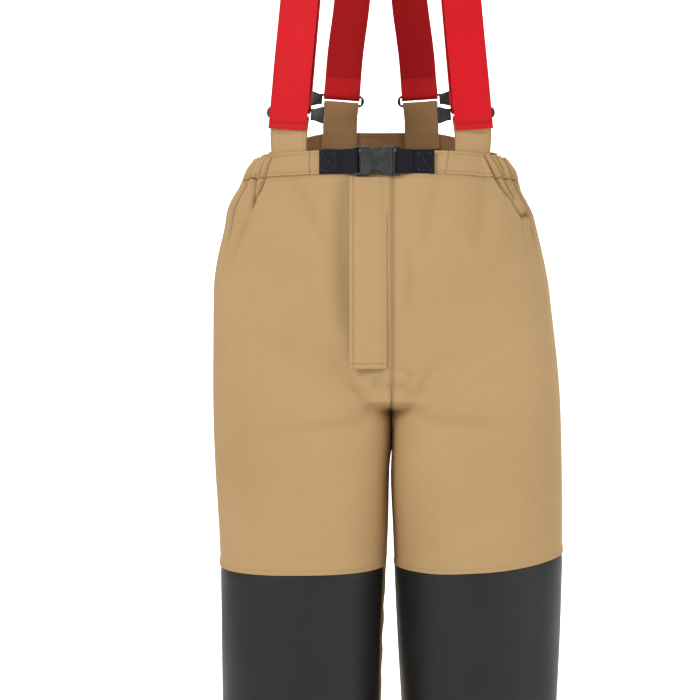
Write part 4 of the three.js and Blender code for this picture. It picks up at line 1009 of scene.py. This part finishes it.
def fly_front(height):
    """The foremost place of the front at a height."""
    level = np.minimum((height - INSEAM) / (FRONT_RISE - BAND), 1)
    return np.minimum.reduce([trousers(-1, girth, level)[..., 1] for girth in (0.01, 0.08, 0.14)])


def fly_patch(left, wide, margin, columns, rows):
    """An upright strip over the front, a margin shorter than the flap at both ends."""
    u, v = weave(columns, rows)
    low = FLAP_TOP - FLAP_LENGTH
    height = mix(low + margin, FLAP_TOP - margin, v)
    return Patch(np.stack([left + u * wide, fly_front(height), height], -1), 1)


patch = fly_patch(FLAP_EDGE - FLAP_WIDTH, FLAP_WIDTH, 0, 40, 150)
x, z = patch.at[..., 0], patch.at[..., 2]
raised = mix(FLAP_LAYER, 2.3, smooth(x, -6, FLAP_EDGE))  # it settles onto the shell at its seam
raised = raised + 1.8 * hump(patch.left, 10) * smooth(z, 880, 1030)  # the free edge lifts near the belt
raised = raised - 0.55 * (hump(patch.left - 5, 1.1) + hump(patch.low - 6.5, 1.1) * (patch.left > 4))
raised = raised + 0.5 * hump(patch.left - 1.5, 2) - 0.5 * hump(patch.right - 3, 1.2)
raised = raised + 0.7 * ripple(patch.at, 95, 8, (1, 1, 2.5)) + 0.35 * ripple(patch.at, 30, 9)
# painted shade along the stitching and at the sewn edge
crease_shade = 0.35 * hump(patch.left - 5, 0.9) + 0.3 * hump(patch.low - 6.5, 0.9)
crease_shade = crease_shade + 0.5 * hump(patch.right, 1.2)
flap = cloth("fly_flap_cloth", patch, raised, 2.0, [tan_cloth, tan_cloth], crease_shade, rim=0.8, rider=None)
declare(flap, patch, "hung", ["shell_front_left"], "shell_cloth", "fly_flap")
flap_thread = stitches(
    "fly_flap_stitching",
    [line(patch, raised, 5.0, "left", 0.03, 1), line(patch, raised, 6.5, "low", 0.12, 0.9)],
    tan_thread,
    rider=None,
)
for piece in (flap, flap_thread):
    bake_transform(piece)
stitches("fly_seam_stitching", [line(patch, raised, 1.4, "right")], tan_thread)

hooks = Finish("touch_fastener_hooks", 0.7)
spikes = hooks.noise(1500, 2, 0.7)
hooks.feed("Base Color", hooks.color(spikes, rgb(24, 24, 25), rgb(58, 58, 60)))
hooks.bump(spikes, 0.0008, 0.9)
loops = Finish("touch_fastener_loops", 0.95, Sheen_Weight=0.4)
pile = loops.noise(900, 4, 0.75)
loops.feed("Base Color", loops.color(pile, rgb(30, 30, 31), rgb(66, 66, 68)))
loops.bump(pile, 0.001, 0.9)
for name, layer_at, finish, rider, node in (
    ("fly_hooks", HOOK_LAYER, hooks, body, "fly_hook_strip"),
    ("fly_loops", LOOP_LAYER, loops, "fly_flap", "fly_loop_strip"),
):
    patch = fly_patch(FLAP_EDGE - FLAP_WIDTH + 5, 25, 12, 20, 120)
    edge = patch.nearest()
    raised = layer_at - 0.25 * (1 - smooth(edge, 0.5, 2.5))
    strip = cloth(name, patch, raised, 1.0, [finish.material], rim=0.2, rider=rider)
    declare(strip, patch, "stretched", ["shell_front_right"], "touch_fastener", node)
    strip_lines = [line(patch, raised, 1.6, edge, lift=0.5) for edge in ("left", "right", "low", "high")]
    stitches(f"{name}_stitching", strip_lines, dark_thread, rider=rider)

u, v = weave(20, 80)
height = FLAP_TOP - 44 - (1 - v) * (FLAP_LENGTH - 76)
girth = 0.004 + 0.045 * u
patch = Patch(trousers(1, girth, (height - INSEAM) / (FRONT_RISE - BAND)), 1)
raised = drape(1, girth, patch.at)[0] - 6 + 0.4 * ripple(patch.at, 60, 14)
facing = cloth("fly_facing", patch, raised, 1.5, [inner_cloth], 0.0)
declare(facing, patch, "hung", ["shell_front_left"], "shell_cloth", "fly_underlap")

# ---- Suspender tabs ----
# Wide loops of doubled tan cloth, sewn inside the waistband, that turn over the lower bar of
# each clip and are stitched down behind themselves.
AIR = 0.35  # between a layer of cloth and the next
BAR, BAR_PITCH = 1.8, 13.0  # radius of a clip's bars, and half the distance between them
TAB_WIDTH, TAB_CLOTH, TAB_ROOT, TAB_SEWN = 48, 1.8, 24, 26
TAB_RISES = {"front": 44, "back": 37}
tab_radius = BAR + 1.2 + TAB_CLOTH / 2
tab_layer = BAND_CLOTH / 2 + 3 * AIR + TAB_CLOTH / 2
FRONT_SPREAD, BACK_SPREAD = WAIST_WIDTH - 56, 54


def layer(side, girth, level, distance):
    """The shell's places moved out along its cloth's normals."""
    step = 0.004
    around = trousers(side, girth + step, level) - trousers(side, girth - step, level)
    up = trousers(side, girth, np.minimum(level + step, 2)) - trousers(side, girth, level - step)
    out = np.cross(around, up) * side
    out /= np.linalg.norm(out, axis=-1, keepdims=True)
    return trousers(side, girth, level) + out * distance


def girth_at(spread, back, level=2.0):
    """The girth where the waist lies at a distance from the middle, at the front or the back."""
    girth = np.arcsin((spread / measure(BODY_CHART, BODY_WIDE, level)) ** (1 / SQUARENESS)) / pi
    return 1 - girth if back else girth


class Hanger:
    """A clip's own frame: wide along its bars, up the strap, and back to the wearer's rear."""

    def __init__(self, end, side):
        is_back = end == "back"
        spread = BACK_SPREAD if is_back else FRONT_SPREAD
        slant, yaw = (radians(4), 0.0) if is_back else (radians(5), radians(13))
        self.top = trousers(side, girth_at(spread, is_back), 2.0)
        bar_y = self.top[1] + (-tab_layer - tab_radius if is_back else tab_layer + tab_radius + 2)
        self.up = np.array([-side * sin(slant), 0, cos(slant)])
        wide = np.array([cos(yaw), side * sin(yaw), 0])
        wide = wide - self.up * wide.dot(self.up)
        self.wide = wide / np.linalg.norm(wide)
        self.back = np.cross(self.up, self.wide)
        self.origin = np.array([side * spread, bar_y, self.top[2] + TAB_RISES[end] + BAR_PITCH])

    def at(self, w, n, t):
        w, n, t = (np.asarray(x, float)[..., None] for x in (w, n, t))
        return self.origin + w * self.wide + n * self.back + t * self.up


hangers = {(end, name): Hanger(end, side) for end in ("front", "back") for name, side in SIDES.items()}
# painted shade: a darker copy of the tan cloth for the back tabs' forward faces, which stand in shade
tab_painted_shade = brushed("tab_painted_shade", rgb(158, 124, 84), rgb(146, 112, 74), rgb(96, 70, 44))
tab_lines = []
for (end, name), hanger in hangers.items():
    side, is_back = SIDES[name], end == "back"
    outer = 1 if is_back else -1
    across = np.linspace(-TAB_WIDTH / 2, TAB_WIDTH / 2, 25)
    root_top = hanger.top[2] - TAB_ROOT

    def leg(share, behind):
        """A row of the tab, rising inside the waistband, in front or behind."""
        foot_x = hanger.at(across, 0, -BAR_PITCH - TAB_RISES[end])[:, 0]
        girth = girth_at(np.abs(foot_x), is_back)
        z = mix(root_top, hanger.at(across, 0, -BAR_PITCH)[:, 2], share)
        level = np.clip(1 + (z - seam_height(girth)) / BAND, 1, 2)
        root = layer(side, girth, level, -(tab_layer + behind * (TAB_CLOTH + AIR)))
        root[:, 2] = z
        head = hanger.at(across, outer * (-1 if behind else 1) * tab_radius, -BAR_PITCH)
        hung = head + ((z - head[:, 2]) / hanger.up[2])[:, None] * hanger.up
        return mix(root, hung, smooth(z, hanger.top[2], hanger.origin[2] - BAR_PITCH - 1)[:, None])

    shares = np.linspace(0, 0.9, 26)
    over = [
        hanger.at(across, outer * tab_radius * cos(turn), -BAR_PITCH + tab_radius * sin(turn))
        for turn in np.linspace(0, pi, 15)
    ]
    rows = [leg(share, 0) for share in shares] + over + [leg(share, 1) for share in shares[::-1]]
    patch = Patch(np.stack(rows), 1)
    patch.out *= -1 if (patch.out[5, 12, 1] > 0) != is_back else 1
    above = patch.low - TAB_ROOT
    edge = np.minimum(patch.left, patch.right)
    raised = 0.12 * np.sin(patch.left / 7 + side) * smooth(above, 0, 20) - 0.25 * hump(edge - 3, 0.9)
    raised = raised - 0.25 * hump(above - TAB_SEWN, 0.9)
    # painted shade along the edge stitching and the cross seam
    crease_shade = 0.35 * hump(edge - 3, 0.8) + 0.35 * hump(above - TAB_SEWN, 0.8)
    faces = [tan_cloth, tab_painted_shade if is_back else tan_cloth]
    tab = cloth(f"strap_tab_{end}_{name}", patch, raised, TAB_CLOTH, faces, crease_shade, rim=0.6)
    if is_back:  # the side towards the wearer, seen from the front, gets the painted shade
        for face in tab.data.polygons:
            face.material_index = int(face.normal.y < -0.3)
    sewn_to = "waistband_back" if is_back else f"waistband_front_{name}"
    declare(tab, patch, "folded", [sewn_to], "shell_cloth", f"suspender_tab_{end}_{name}")
    for edge in ("left", "right"):
        places, out = line(patch, raised, 3.0, edge, lift=TAB_CLOTH / 2)
        for part in (slice(12, 27), slice(41, 57)):  # above the waistband, in front and behind
            tab_lines.append((places[part], out[part]))
    row = int(np.argmin(np.abs(patch.low[:30, 12] - TAB_ROOT - TAB_SEWN)))
    places = (patch.at + patch.out * (raised + TAB_CLOTH / 2)[..., None])[row, 3:-3]
    tab_lines.append((places, patch.out[row, 3:-3]))
stitches("strap_tab_stitching", tab_lines, tan_thread)

# ---- Suspenders ----
# Two long red webbing straps: each loops round its clips, crosses the shoulder and passes
# through a sewn band behind the shoulder blades. The front ends fold back through adjusters.
WEBBING, WEBBING_THICK = 50, 2.0
loop_radius = BAR + 2.4 + WEBBING_THICK / 2
pitch = WEBBING_THICK + AIR
LOOP_CLOSE, BACK_TAIL, TAIL_DROP = 26, 25, 28
SHOULDER_TOP, SHOULDER_SPREAD, STRAIGHT = WAIST_TOP + 433, 72, 285
ADJUSTER_RISE, TAIL_RETURN, SLIDE_BAR = 190, 18, 1.5
CROSS_SPREAD, CROSS_RISE, CROSS_TALL = 38, 312, 60


def ribbed(name, light, dark, rib=0.0021, tight=0.0009, sheen=0.05):
    """Woven webbing: fine lengthwise ribs, tight cross picks, firm selvedges, and painted shade in the
    creases and in the groove beside each selvedge.
    """
    finish = Finish(
        name, 0.62, Sheen_Weight=sheen, Sheen_Roughness=0.4, Sheen_Tint=light, Specular_IOR_Level=0.2
    )
    across, along = finish.across(), finish.along()
    ribs, picks = across.waves(rib), (along + across * 0.5).waves(tight)
    wear_and_shade = finish.noise(26, 4)
    share = finish.between(wear_and_shade * 0.6 + picks * 0.2 + ribs * 0.2, 0.3, 0.7)
    even = finish.color(share, dark, light)
    # painted shade: the creases darken toward this
    painted_shade_color = (*(c * 0.45 for c in dark[:3]), 1)
    finish.feed("Base Color", finish.color(finish.attribute("crease_shade"), even, painted_shade_color))
    finish.feed("Roughness", finish.between(picks * 0.5 + wear_and_shade * 0.5, 0.2, 0.8, 0.56, 0.72))
    finish.bump(ribs * 0.55 + picks * 0.45, 0.00022, 0.5)
    return finish.material


red_webbing = ribbed("red_webbing", rgb(218, 16, 30), rgb(200, 10, 22))
# painted shade: a darker red for the straps' inner face, which is seen in shade on the back straps
red_shaded_inside = ribbed("red_webbing_painted_shade", rgb(174, 0, 8), rgb(156, 0, 6), sheen=0.0)
black_webbing = ribbed("black_webbing", rgb(44, 44, 46), rgb(30, 30, 32))
red_thread = spun("red_thread", rgb(176, 16, 26), rgb(128, 8, 16))


def half_turn(hanger, from_front):
    """Half a turn under a bar, from the front of it to the back, or the other way."""
    turns = np.linspace(0, pi, 17)
    n = -loop_radius * np.cos(turns) * (1 if from_front else -1)
    return [(hanger.at(0, a, -loop_radius * sin(b)), hanger.wide) for a, b in zip(n, turns)]


def inner_leg(t):
    """How far behind the bar the loop's inner leg is at a height, as it closes onto the outer."""
    return mix(-loop_radius, loop_radius - pitch, smooth(t, 0, LOOP_CLOSE))


def closing_leg(hanger, top):
    """The loop's inner leg, up to a height."""
    heights = [t for t in range(2, LOOP_CLOSE + 1, 2) if t < top - 1]
    heights += [top] if top <= LOOP_CLOSE else [*np.linspace(LOOP_CLOSE + 4, top, 12)]
    return [(hanger.at(0, inner_leg(t), t), hanger.wide) for t in heights]


def bend(start, end, steps):
    """Stops between two places with given headings, on one smooth curve."""
    (a, across_a, heading_a), (b, across_b, heading_b) = start, end
    reach = np.linalg.norm(b - a) * 0.42
    p1, p2 = a + heading_a * reach, b - heading_b * reach
    stops = []
    for t in np.arange(1, steps) / steps:
        place = (1 - t) ** 3 * a + 3 * (1 - t) ** 2 * t * p1 + 3 * (1 - t) * t**2 * p2 + t**3 * b
        heading = 3 * (1 - t) ** 2 * (p1 - a) + 6 * (1 - t) * t * (p2 - p1) + 3 * t**2 * (b - p2)
        heading /= np.linalg.norm(heading)
        across = mix(across_a, across_b, smooth(t, 0, 1))
        across = across - heading * across.dot(heading)
        stops.append((place, across / np.linalg.norm(across)))
    return stops


def ribbon(stops, wide, columns=12):
    """A patch of webbing along a run of (place, direction of its width)."""
    w = np.linspace(-wide / 2, wide / 2, columns + 1)
    places, across = (np.array([stop[i] for stop in stops]) for i in (0, 1))
    return Patch(places[:, None] + across[:, None] * w[None, :, None], 1)


def selvedge(patch):
    """The webbing's thick woven edges: how far they stand out, and the shade painted into the groove inside
    them.
    """
    edge = np.minimum(patch.left, patch.right)
    return 0.14 * hump(edge - 1.5, 1.2) - 0.12 * hump(edge - 3.4, 0.6), 0.22 * hump(edge - 3.4, 0.7)


X_AXIS, Y_AXIS, DOWN = np.array([1.0, 0, 0]), np.array([0, 1.0, 0]), np.array([0, 0, -1.0])
strap_lines = []
for name, side in SIDES.items():
    front, back = hangers["front", name], hangers["back", name]
    cross_z, cross_y = WAIST_TOP + CROSS_RISE, back.origin[1] - 4
    straight_top = (front.at(0, loop_radius, STRAIGHT), front.wide, front.up)
    shoulder_y = mix(front.origin[1], back.origin[1], 0.52)
    shoulder_at = np.array([side * SHOULDER_SPREAD, shoulder_y, SHOULDER_TOP - WEBBING_THICK / 2])
    shoulder = (shoulder_at, X_AXIS, Y_AXIS)
    band_top, band_foot = (
        (np.array([side * CROSS_SPREAD, cross_y, cross_z + away]), X_AXIS, DOWN)
        for away in (CROSS_TALL / 2 + 4, -CROSS_TALL / 2 - 4)
    )
    back_end = (back.at(0, loop_radius, LOOP_CLOSE + 8), back.wide, -back.up)
    stops = [
        *closing_leg(front, ADJUSTER_RISE)[::-1],
        *half_turn(front, True),
        *[(front.at(0, loop_radius, t), front.wide) for t in np.linspace(6, STRAIGHT - 6, 44)],
        straight_top[:2],
        *bend(straight_top, shoulder, 40),
        shoulder[:2],
        *bend(shoulder, band_top, 40),
        band_top[:2],
        *[(mix(band_top[0], band_foot[0], t), X_AXIS) for t in (0.2, 0.4, 0.6, 0.8)],
        band_foot[:2],
        *bend(band_foot, back_end, 30),
        back_end[:2],
        *[(back.at(0, loop_radius, t), back.wide) for t in (28, 22, 16, 11, 7, 3)],
        *half_turn(back, False),
        *closing_leg(back, BACK_TAIL),
    ]
    patch = ribbon(stops, WEBBING)
    raised, crease_shade = selvedge(patch)
    # painted shade where the end folds up behind the clip
    crease_shade = crease_shade + 0.42 * (1 - smooth(patch.high, 34, 40))
    faces = [red_webbing, red_shaded_inside]
    strap = cloth(f"suspender_webbing_{name}", patch, raised, WEBBING_THICK, faces, crease_shade, rim=0.5)
    hangs_on = [f"suspender_clip_front_{name}"]
    declare(strap, patch, "hung", hangs_on, "suspender_webbing", f"suspender_strap_{name}")

    # two rows of thread close the back loop, seen on both its faces
    w = np.linspace(-22, 22, 12)
    for t in (LOOP_CLOSE - 6, LOOP_CLOSE - 3):
        for n, facing in ((loop_radius + 1, 1), (inner_leg(t) - 1, -1)):
            strap_lines.append((back.at(w, n, t), np.tile(back.back * facing, (len(w), 1))))

    # the tail hangs in front of the strap from the adjuster's middle bar
    tail_radius = SLIDE_BAR + AIR + WEBBING_THICK / 2
    return_layer = loop_radius - 2 * pitch
    bar_layer = return_layer - tail_radius
    hang_layer = -loop_radius - pitch - AIR
    low = [(hang_layer, t) for t in np.linspace(-TAIL_DROP, LOOP_CLOSE, 22)]
    rising = [
        (mix(hang_layer, bar_layer - tail_radius, smooth(t, LOOP_CLOSE, 170)), t)
        for t in np.linspace(LOOP_CLOSE + 4, ADJUSTER_RISE - 3, 34)
    ]
    over = [
        (bar_layer - tail_radius * cos(turn), ADJUSTER_RISE + tail_radius * sin(turn))
        for turn in np.linspace(0, pi, 15)
    ]
    ends = [(return_layer, ADJUSTER_RISE - t) for t in np.linspace(3, TAIL_RETURN, 6)]
    patch = ribbon([(front.at(0, n, t), front.wide) for n, t in low + rising + over + ends], WEBBING)
    raised, crease_shade = selvedge(patch)
    patch.out *= -1 if patch.out[5, 5, 1] > 0 else 1
    hem = 1 - smooth(patch.low, 9, 10.5)  # its end is turned up and sewn
    raised = raised + 0.35 * hem - 0.3 * hump(patch.low - 7.5, 0.9)
    free = smooth(patch.low, 30, 90) * smooth(ADJUSTER_RISE - patch.low, 0, 60)
    raised = raised + 0.5 * np.sin(patch.low / 31 + side) * free
    # painted shade along the hem's stitching and its fold
    crease_shade = crease_shade + 0.5 * hump(patch.low - 7.5, 0.8) + 0.3 * hump(patch.low - 10.5, 0.8)
    tail_body = f"slide_adjuster_{name}"
    tail = cloth(
        f"suspender_tail_webbing_{name}", patch, raised, WEBBING_THICK, [red_webbing], crease_shade, rim=0.5,
        rider=tail_body,
    )
    declare(tail, patch, "hung", [tail_body], "suspender_webbing", f"suspender_tail_{name}")
    hem_lines = [line(patch, raised, away, "low", 0.06, 0.94, WEBBING_THICK / 2) for away in (7.5, 3.0)]
    stitches(f"tail_hem_stitching_{name}", hem_lines, red_thread, rider=tail_body)
stitches("strap_loop_stitching", strap_lines, red_thread)

# ---- Cross band ----
# A band of black webbing joins the straps behind the shoulder blades, boxed to each with thread.
cross_z, cross_y = WAIST_TOP + CROSS_RISE, hangers["back", "left"].origin[1] - 4 + WEBBING_THICK + AIR
u, v = weave(70, 34)
x, z = (0.5 - u) * (2 * CROSS_SPREAD + WEBBING), cross_z + (v - 0.5) * CROSS_TALL
patch = Patch(np.stack([x, np.full(x.shape, cross_y), z], -1), 1)
patch.out *= -1 if patch.out[5, 5, 1] < 0 else 1
raised = selvedge(patch)[0] + 0.25 * hump(x, 9) * hump(z - cross_z, 26)
cross = cloth("cross_band_webbing", patch, raised, WEBBING_THICK, [black_webbing], 0.0, rim=0.5)
straps = [f"suspender_strap_{name}" for name in SIDES]
declare(cross, patch, "stretched", straps, "cross_band_webbing", "suspender_cross_band")


def boxed(center_x, center_z, wide, tall, to_place, out):
    """The lines of a stitched box with a cross in it, each as a run of places."""
    left, right = center_x - wide / 2, center_x + wide / 2
    low, high = center_z - tall / 2, center_z + tall / 2
    corners = [(left, low), (right, low), (right, high), (left, high), (left, low), (right, high)]
    sides = [*zip(corners, corners[1:]), (corners[3], corners[1])]
    runs = []
    for (x0, z0), (x1, z1) in sides:
        t = np.linspace(0, 1, 20)
        runs.append((to_place(mix(x0, x1, t), mix(z0, z1, t)), np.tile(out, (20, 1))))
    return runs


def on_band(x, z):
    return np.stack([x, np.full(x.shape, cross_y + WEBBING_THICK / 2 + 0.1), z], -1)


box_lines = []
for side in SIDES.values():
    box_lines += boxed(side * CROSS_SPREAD, cross_z, 38, 48, on_band, [0.0, 1.0, 0.0])
stitches("cross_band_stitching", box_lines, red_thread)


# ---- Clips ----
# Black moulded clips with two bars, a flared thumb grip and an open mouth that the tab slips
# through, their edges rounded by the mould.
def moulded(name, light, dark, roughness=0.42):
    """Moulded acetal: fine spark-eroded grain, slight scuffs and a soft shine."""
    finish = Finish(name, roughness, Specular_IOR_Level=0.5)
    grain, scuff = finish.noise(1300, 2), finish.noise(75, 5, 0.7)
    finish.feed("Base Color", finish.color(finish.between(scuff, 0.4, 0.62), dark, light))
    finish.feed("Roughness", finish.between(scuff, 0.35, 0.65, roughness - 0.08, roughness + 0.12))
    finish.bump(grain, 0.00008, 0.5)
    return finish.material


def refined(node, name, wide, finish):
    """A hard part's own shape with its edges rounded, on its own body."""
    part = frame["nodes"][node]
    bpy.ops.object.select_all(action="DESELECT")
    piece = bpy.data.objects.new(name, part.data.copy())
    bpy.context.collection.objects.link(piece)
    bpy.context.view_layer.objects.active = piece
    piece.select_set(True)
    piece.data.materials.clear()
    piece.data.materials.append(finish)
    bpy.ops.object.mode_set(mode="EDIT")
    bpy.ops.mesh.select_all(action="SELECT")
    bpy.ops.mesh.remove_doubles(threshold=0.002 * mm)
    bpy.ops.mesh.dissolve_limited(angle_limit=radians(2))
    bpy.ops.object.mode_set(mode="OBJECT")
    for face in piece.data.polygons:
        face.material_index = 0
    rounded = piece.modifiers.new("rounded", "BEVEL")
    rounded.width = wide * mm
    rounded.segments = 3
    rounded.limit_method = "ANGLE"
    rounded.angle_limit = radians(35)
    bpy.ops.object.modifier_apply(modifier=rounded.name)
    bpy.ops.object.shade_smooth_by_angle(angle=radians(40))
    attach(piece, part["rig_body"])
    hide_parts(node)
    return piece


clip_plastic = moulded("black_acetal", rgb(30, 31, 32), rgb(19, 19, 20))
for end, name in hangers:
    refined(f"suspender_clip_{end}_{name}", f"strap_clip_{end}_{name}", 0.7, clip_plastic)

# ---- Slide adjusters ----
# Ladder adjusters of bright zinc-plated steel, brushed along their rails.
steel = Finish("plated_steel", 0.3, Metallic=1.0)
scratches = steel.noise(160, 4, 0.7, stretch=(12, 12, 1))
steel.feed("Base Color", steel.color(scratches, rgb(150, 150, 152), rgb(196, 196, 198)))
steel.feed("Roughness", steel.between(scratches, 0.3, 0.7, 0.24, 0.42))
steel.bump(scratches, 0.00005, 0.6)
for name in SIDES:
    refined(f"slide_adjuster_{name}", f"ladder_adjuster_{name}", 0.5, steel.material)

# ---- Belt and buckle ----
# Navy webbing sewn to the waistband on both sides, closed by a dark side-release buckle.
buckle_plastic = moulded("charcoal_acetal", rgb(51, 52, 52), rgb(38, 39, 39), 0.36)
navy_webbing = ribbed("navy_webbing", rgb(22, 22, 32), rgb(12, 13, 20), 0.0016, 0.0011, 0.02)
navy_thread = spun("navy_thread", rgb(66, 70, 86), rgb(44, 48, 62))
refined("buckle_housing", "side_release_housing", 0.55, buckle_plastic)
refined("buckle_insert", "side_release_insert", 0.45, buckle_plastic)
BELT, BELT_CLOTH, BELT_BAR, BELT_SLOT = 30, 1.8, 3.0, 4.4
HOUSING_MOUTH, HOUSING_LENGTH, HOUSING_THICK = 14.5, 47, 11
belt_z = WAIST_TOP - BELT_DROP
band_front = min(trousers(1, 0.0, level)[1] for level in (1.0, 2.0)) - BAND_CLOTH / 2
buckle_y = band_front - 0.7 - HOUSING_THICK / 2
for name in ("upper", "lower"):
    arm = refined(f"release_arm_{name}", f"side_release_arm_{name}", 0.4, buckle_plastic)
    # both prongs bow inward while the housing draws off them
    # each prong gets a mesh of its own, and a place at the buckle's middle is worked out
    anchor = (origin + (0, buckle_y, belt_z)) * mm
    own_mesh(arm)


def belt(sewn_end, bar_x, direction):
    """Webbing from its sewn end to a bar, round it, and back over itself."""
    radius = BELT_BAR / 2 + 0.7 + BELT_CLOTH / 2
    lying = BAND_CLOTH / 2 + AIR + BELT_CLOTH / 2 + 0.6

    def band_y(x):
        side, spread = (-1 if x < 0 else 1), max(abs(x), 1)
        return min(trousers(side, girth_at(spread, False, level), level)[1] for level in (1.0, 2.0))

    def lie(x):
        lift = smooth(direction * (x - sewn_end), 24, direction * (bar_x - sewn_end))
        return mix(band_y(x) - lying, buckle_y + radius, lift)

    path = [(x, lie(x)) for x in mix(sewn_end, bar_x, np.linspace(0, 0.93, 26))]
    turns = np.linspace(0, pi, 13)
    path += [(bar_x + direction * radius * sin(a), buckle_y + radius * cos(a)) for a in turns]
    back_to, doubled = bar_x - direction * 17, BELT_CLOTH + 0.5
    for t in (0.25, 0.5, 0.75, 1.0):
        x = mix(bar_x, back_to, t)
        settling = mix(buckle_y - radius, lie(back_to) - doubled, smooth(t, 0, 1))
        path.append((x, min(lie(x) - doubled, settling)))
    return [(np.array([x, y, belt_z]), np.array([0, 0, 1.0])) for x, y in path]


housing_end = HOUSING_MOUTH - HOUSING_LENGTH
insert_bar = HOUSING_MOUTH + 0.4 + 2 + BELT_SLOT + BELT_BAR
for name, sewn_end, bar_x, direction in (
    ("right", -77, housing_end + BELT_BAR / 2, 1),
    ("left", 67, insert_bar - BELT_BAR / 2, -1),
):
    patch = ribbon(belt(sewn_end, bar_x, direction), BELT, 14)
    patch.out *= -1 if patch.out[5, 5, 1] > 0 else 1
    raised, crease_shade = selvedge(patch)
    reach = np.abs(patch.at[..., 0] - sewn_end)
    lying_flat = patch.low < 40
    raised = raised + 0.3 * np.sin(reach / 6.5) * smooth(reach, 20, 34) * lying_flat
    # painted shade over the boxed end, where the stitching holds it down
    crease_shade = crease_shade + 0.12 * smooth(reach, 0, 3) * (1 - smooth(reach, 20, 24)) * lying_flat
    moves = name == "right"
    strap = cloth(
        f"belt_{name}", patch, raised, BELT_CLOTH - 0.2, [navy_webbing], crease_shade, rim=0.4,
        rider=None if moves else body,
    )
    declare(strap, patch, "stretched", [f"waistband_front_{name}"], "belt_webbing", f"belt_webbing_{name}")
    if moves:
        start, end = (tuple((origin + (x, buckle_y, belt_z)) * mm) for x in (sewn_end + 24, bar_x - 14))
        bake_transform(strap)
    surface = patch.at + patch.out * (raised + BELT_CLOTH / 2 - 0.1)[..., None]
    middle_x, middle_y = surface[:20, 7, 0], surface[:20, 7, 1]
    order = np.argsort(middle_x)

    def on_belt(x, z):
        return np.stack([x, np.interp(x, middle_x[order], middle_y[order]), z], -1)

    box_at = sewn_end - 12 * np.sign(sewn_end)
    lines = boxed(box_at, belt_z, 18, 22, on_belt, [0.0, -1.0, 0.0])
    stitches(f"belt_box_stitching_{name}", lines, navy_thread)
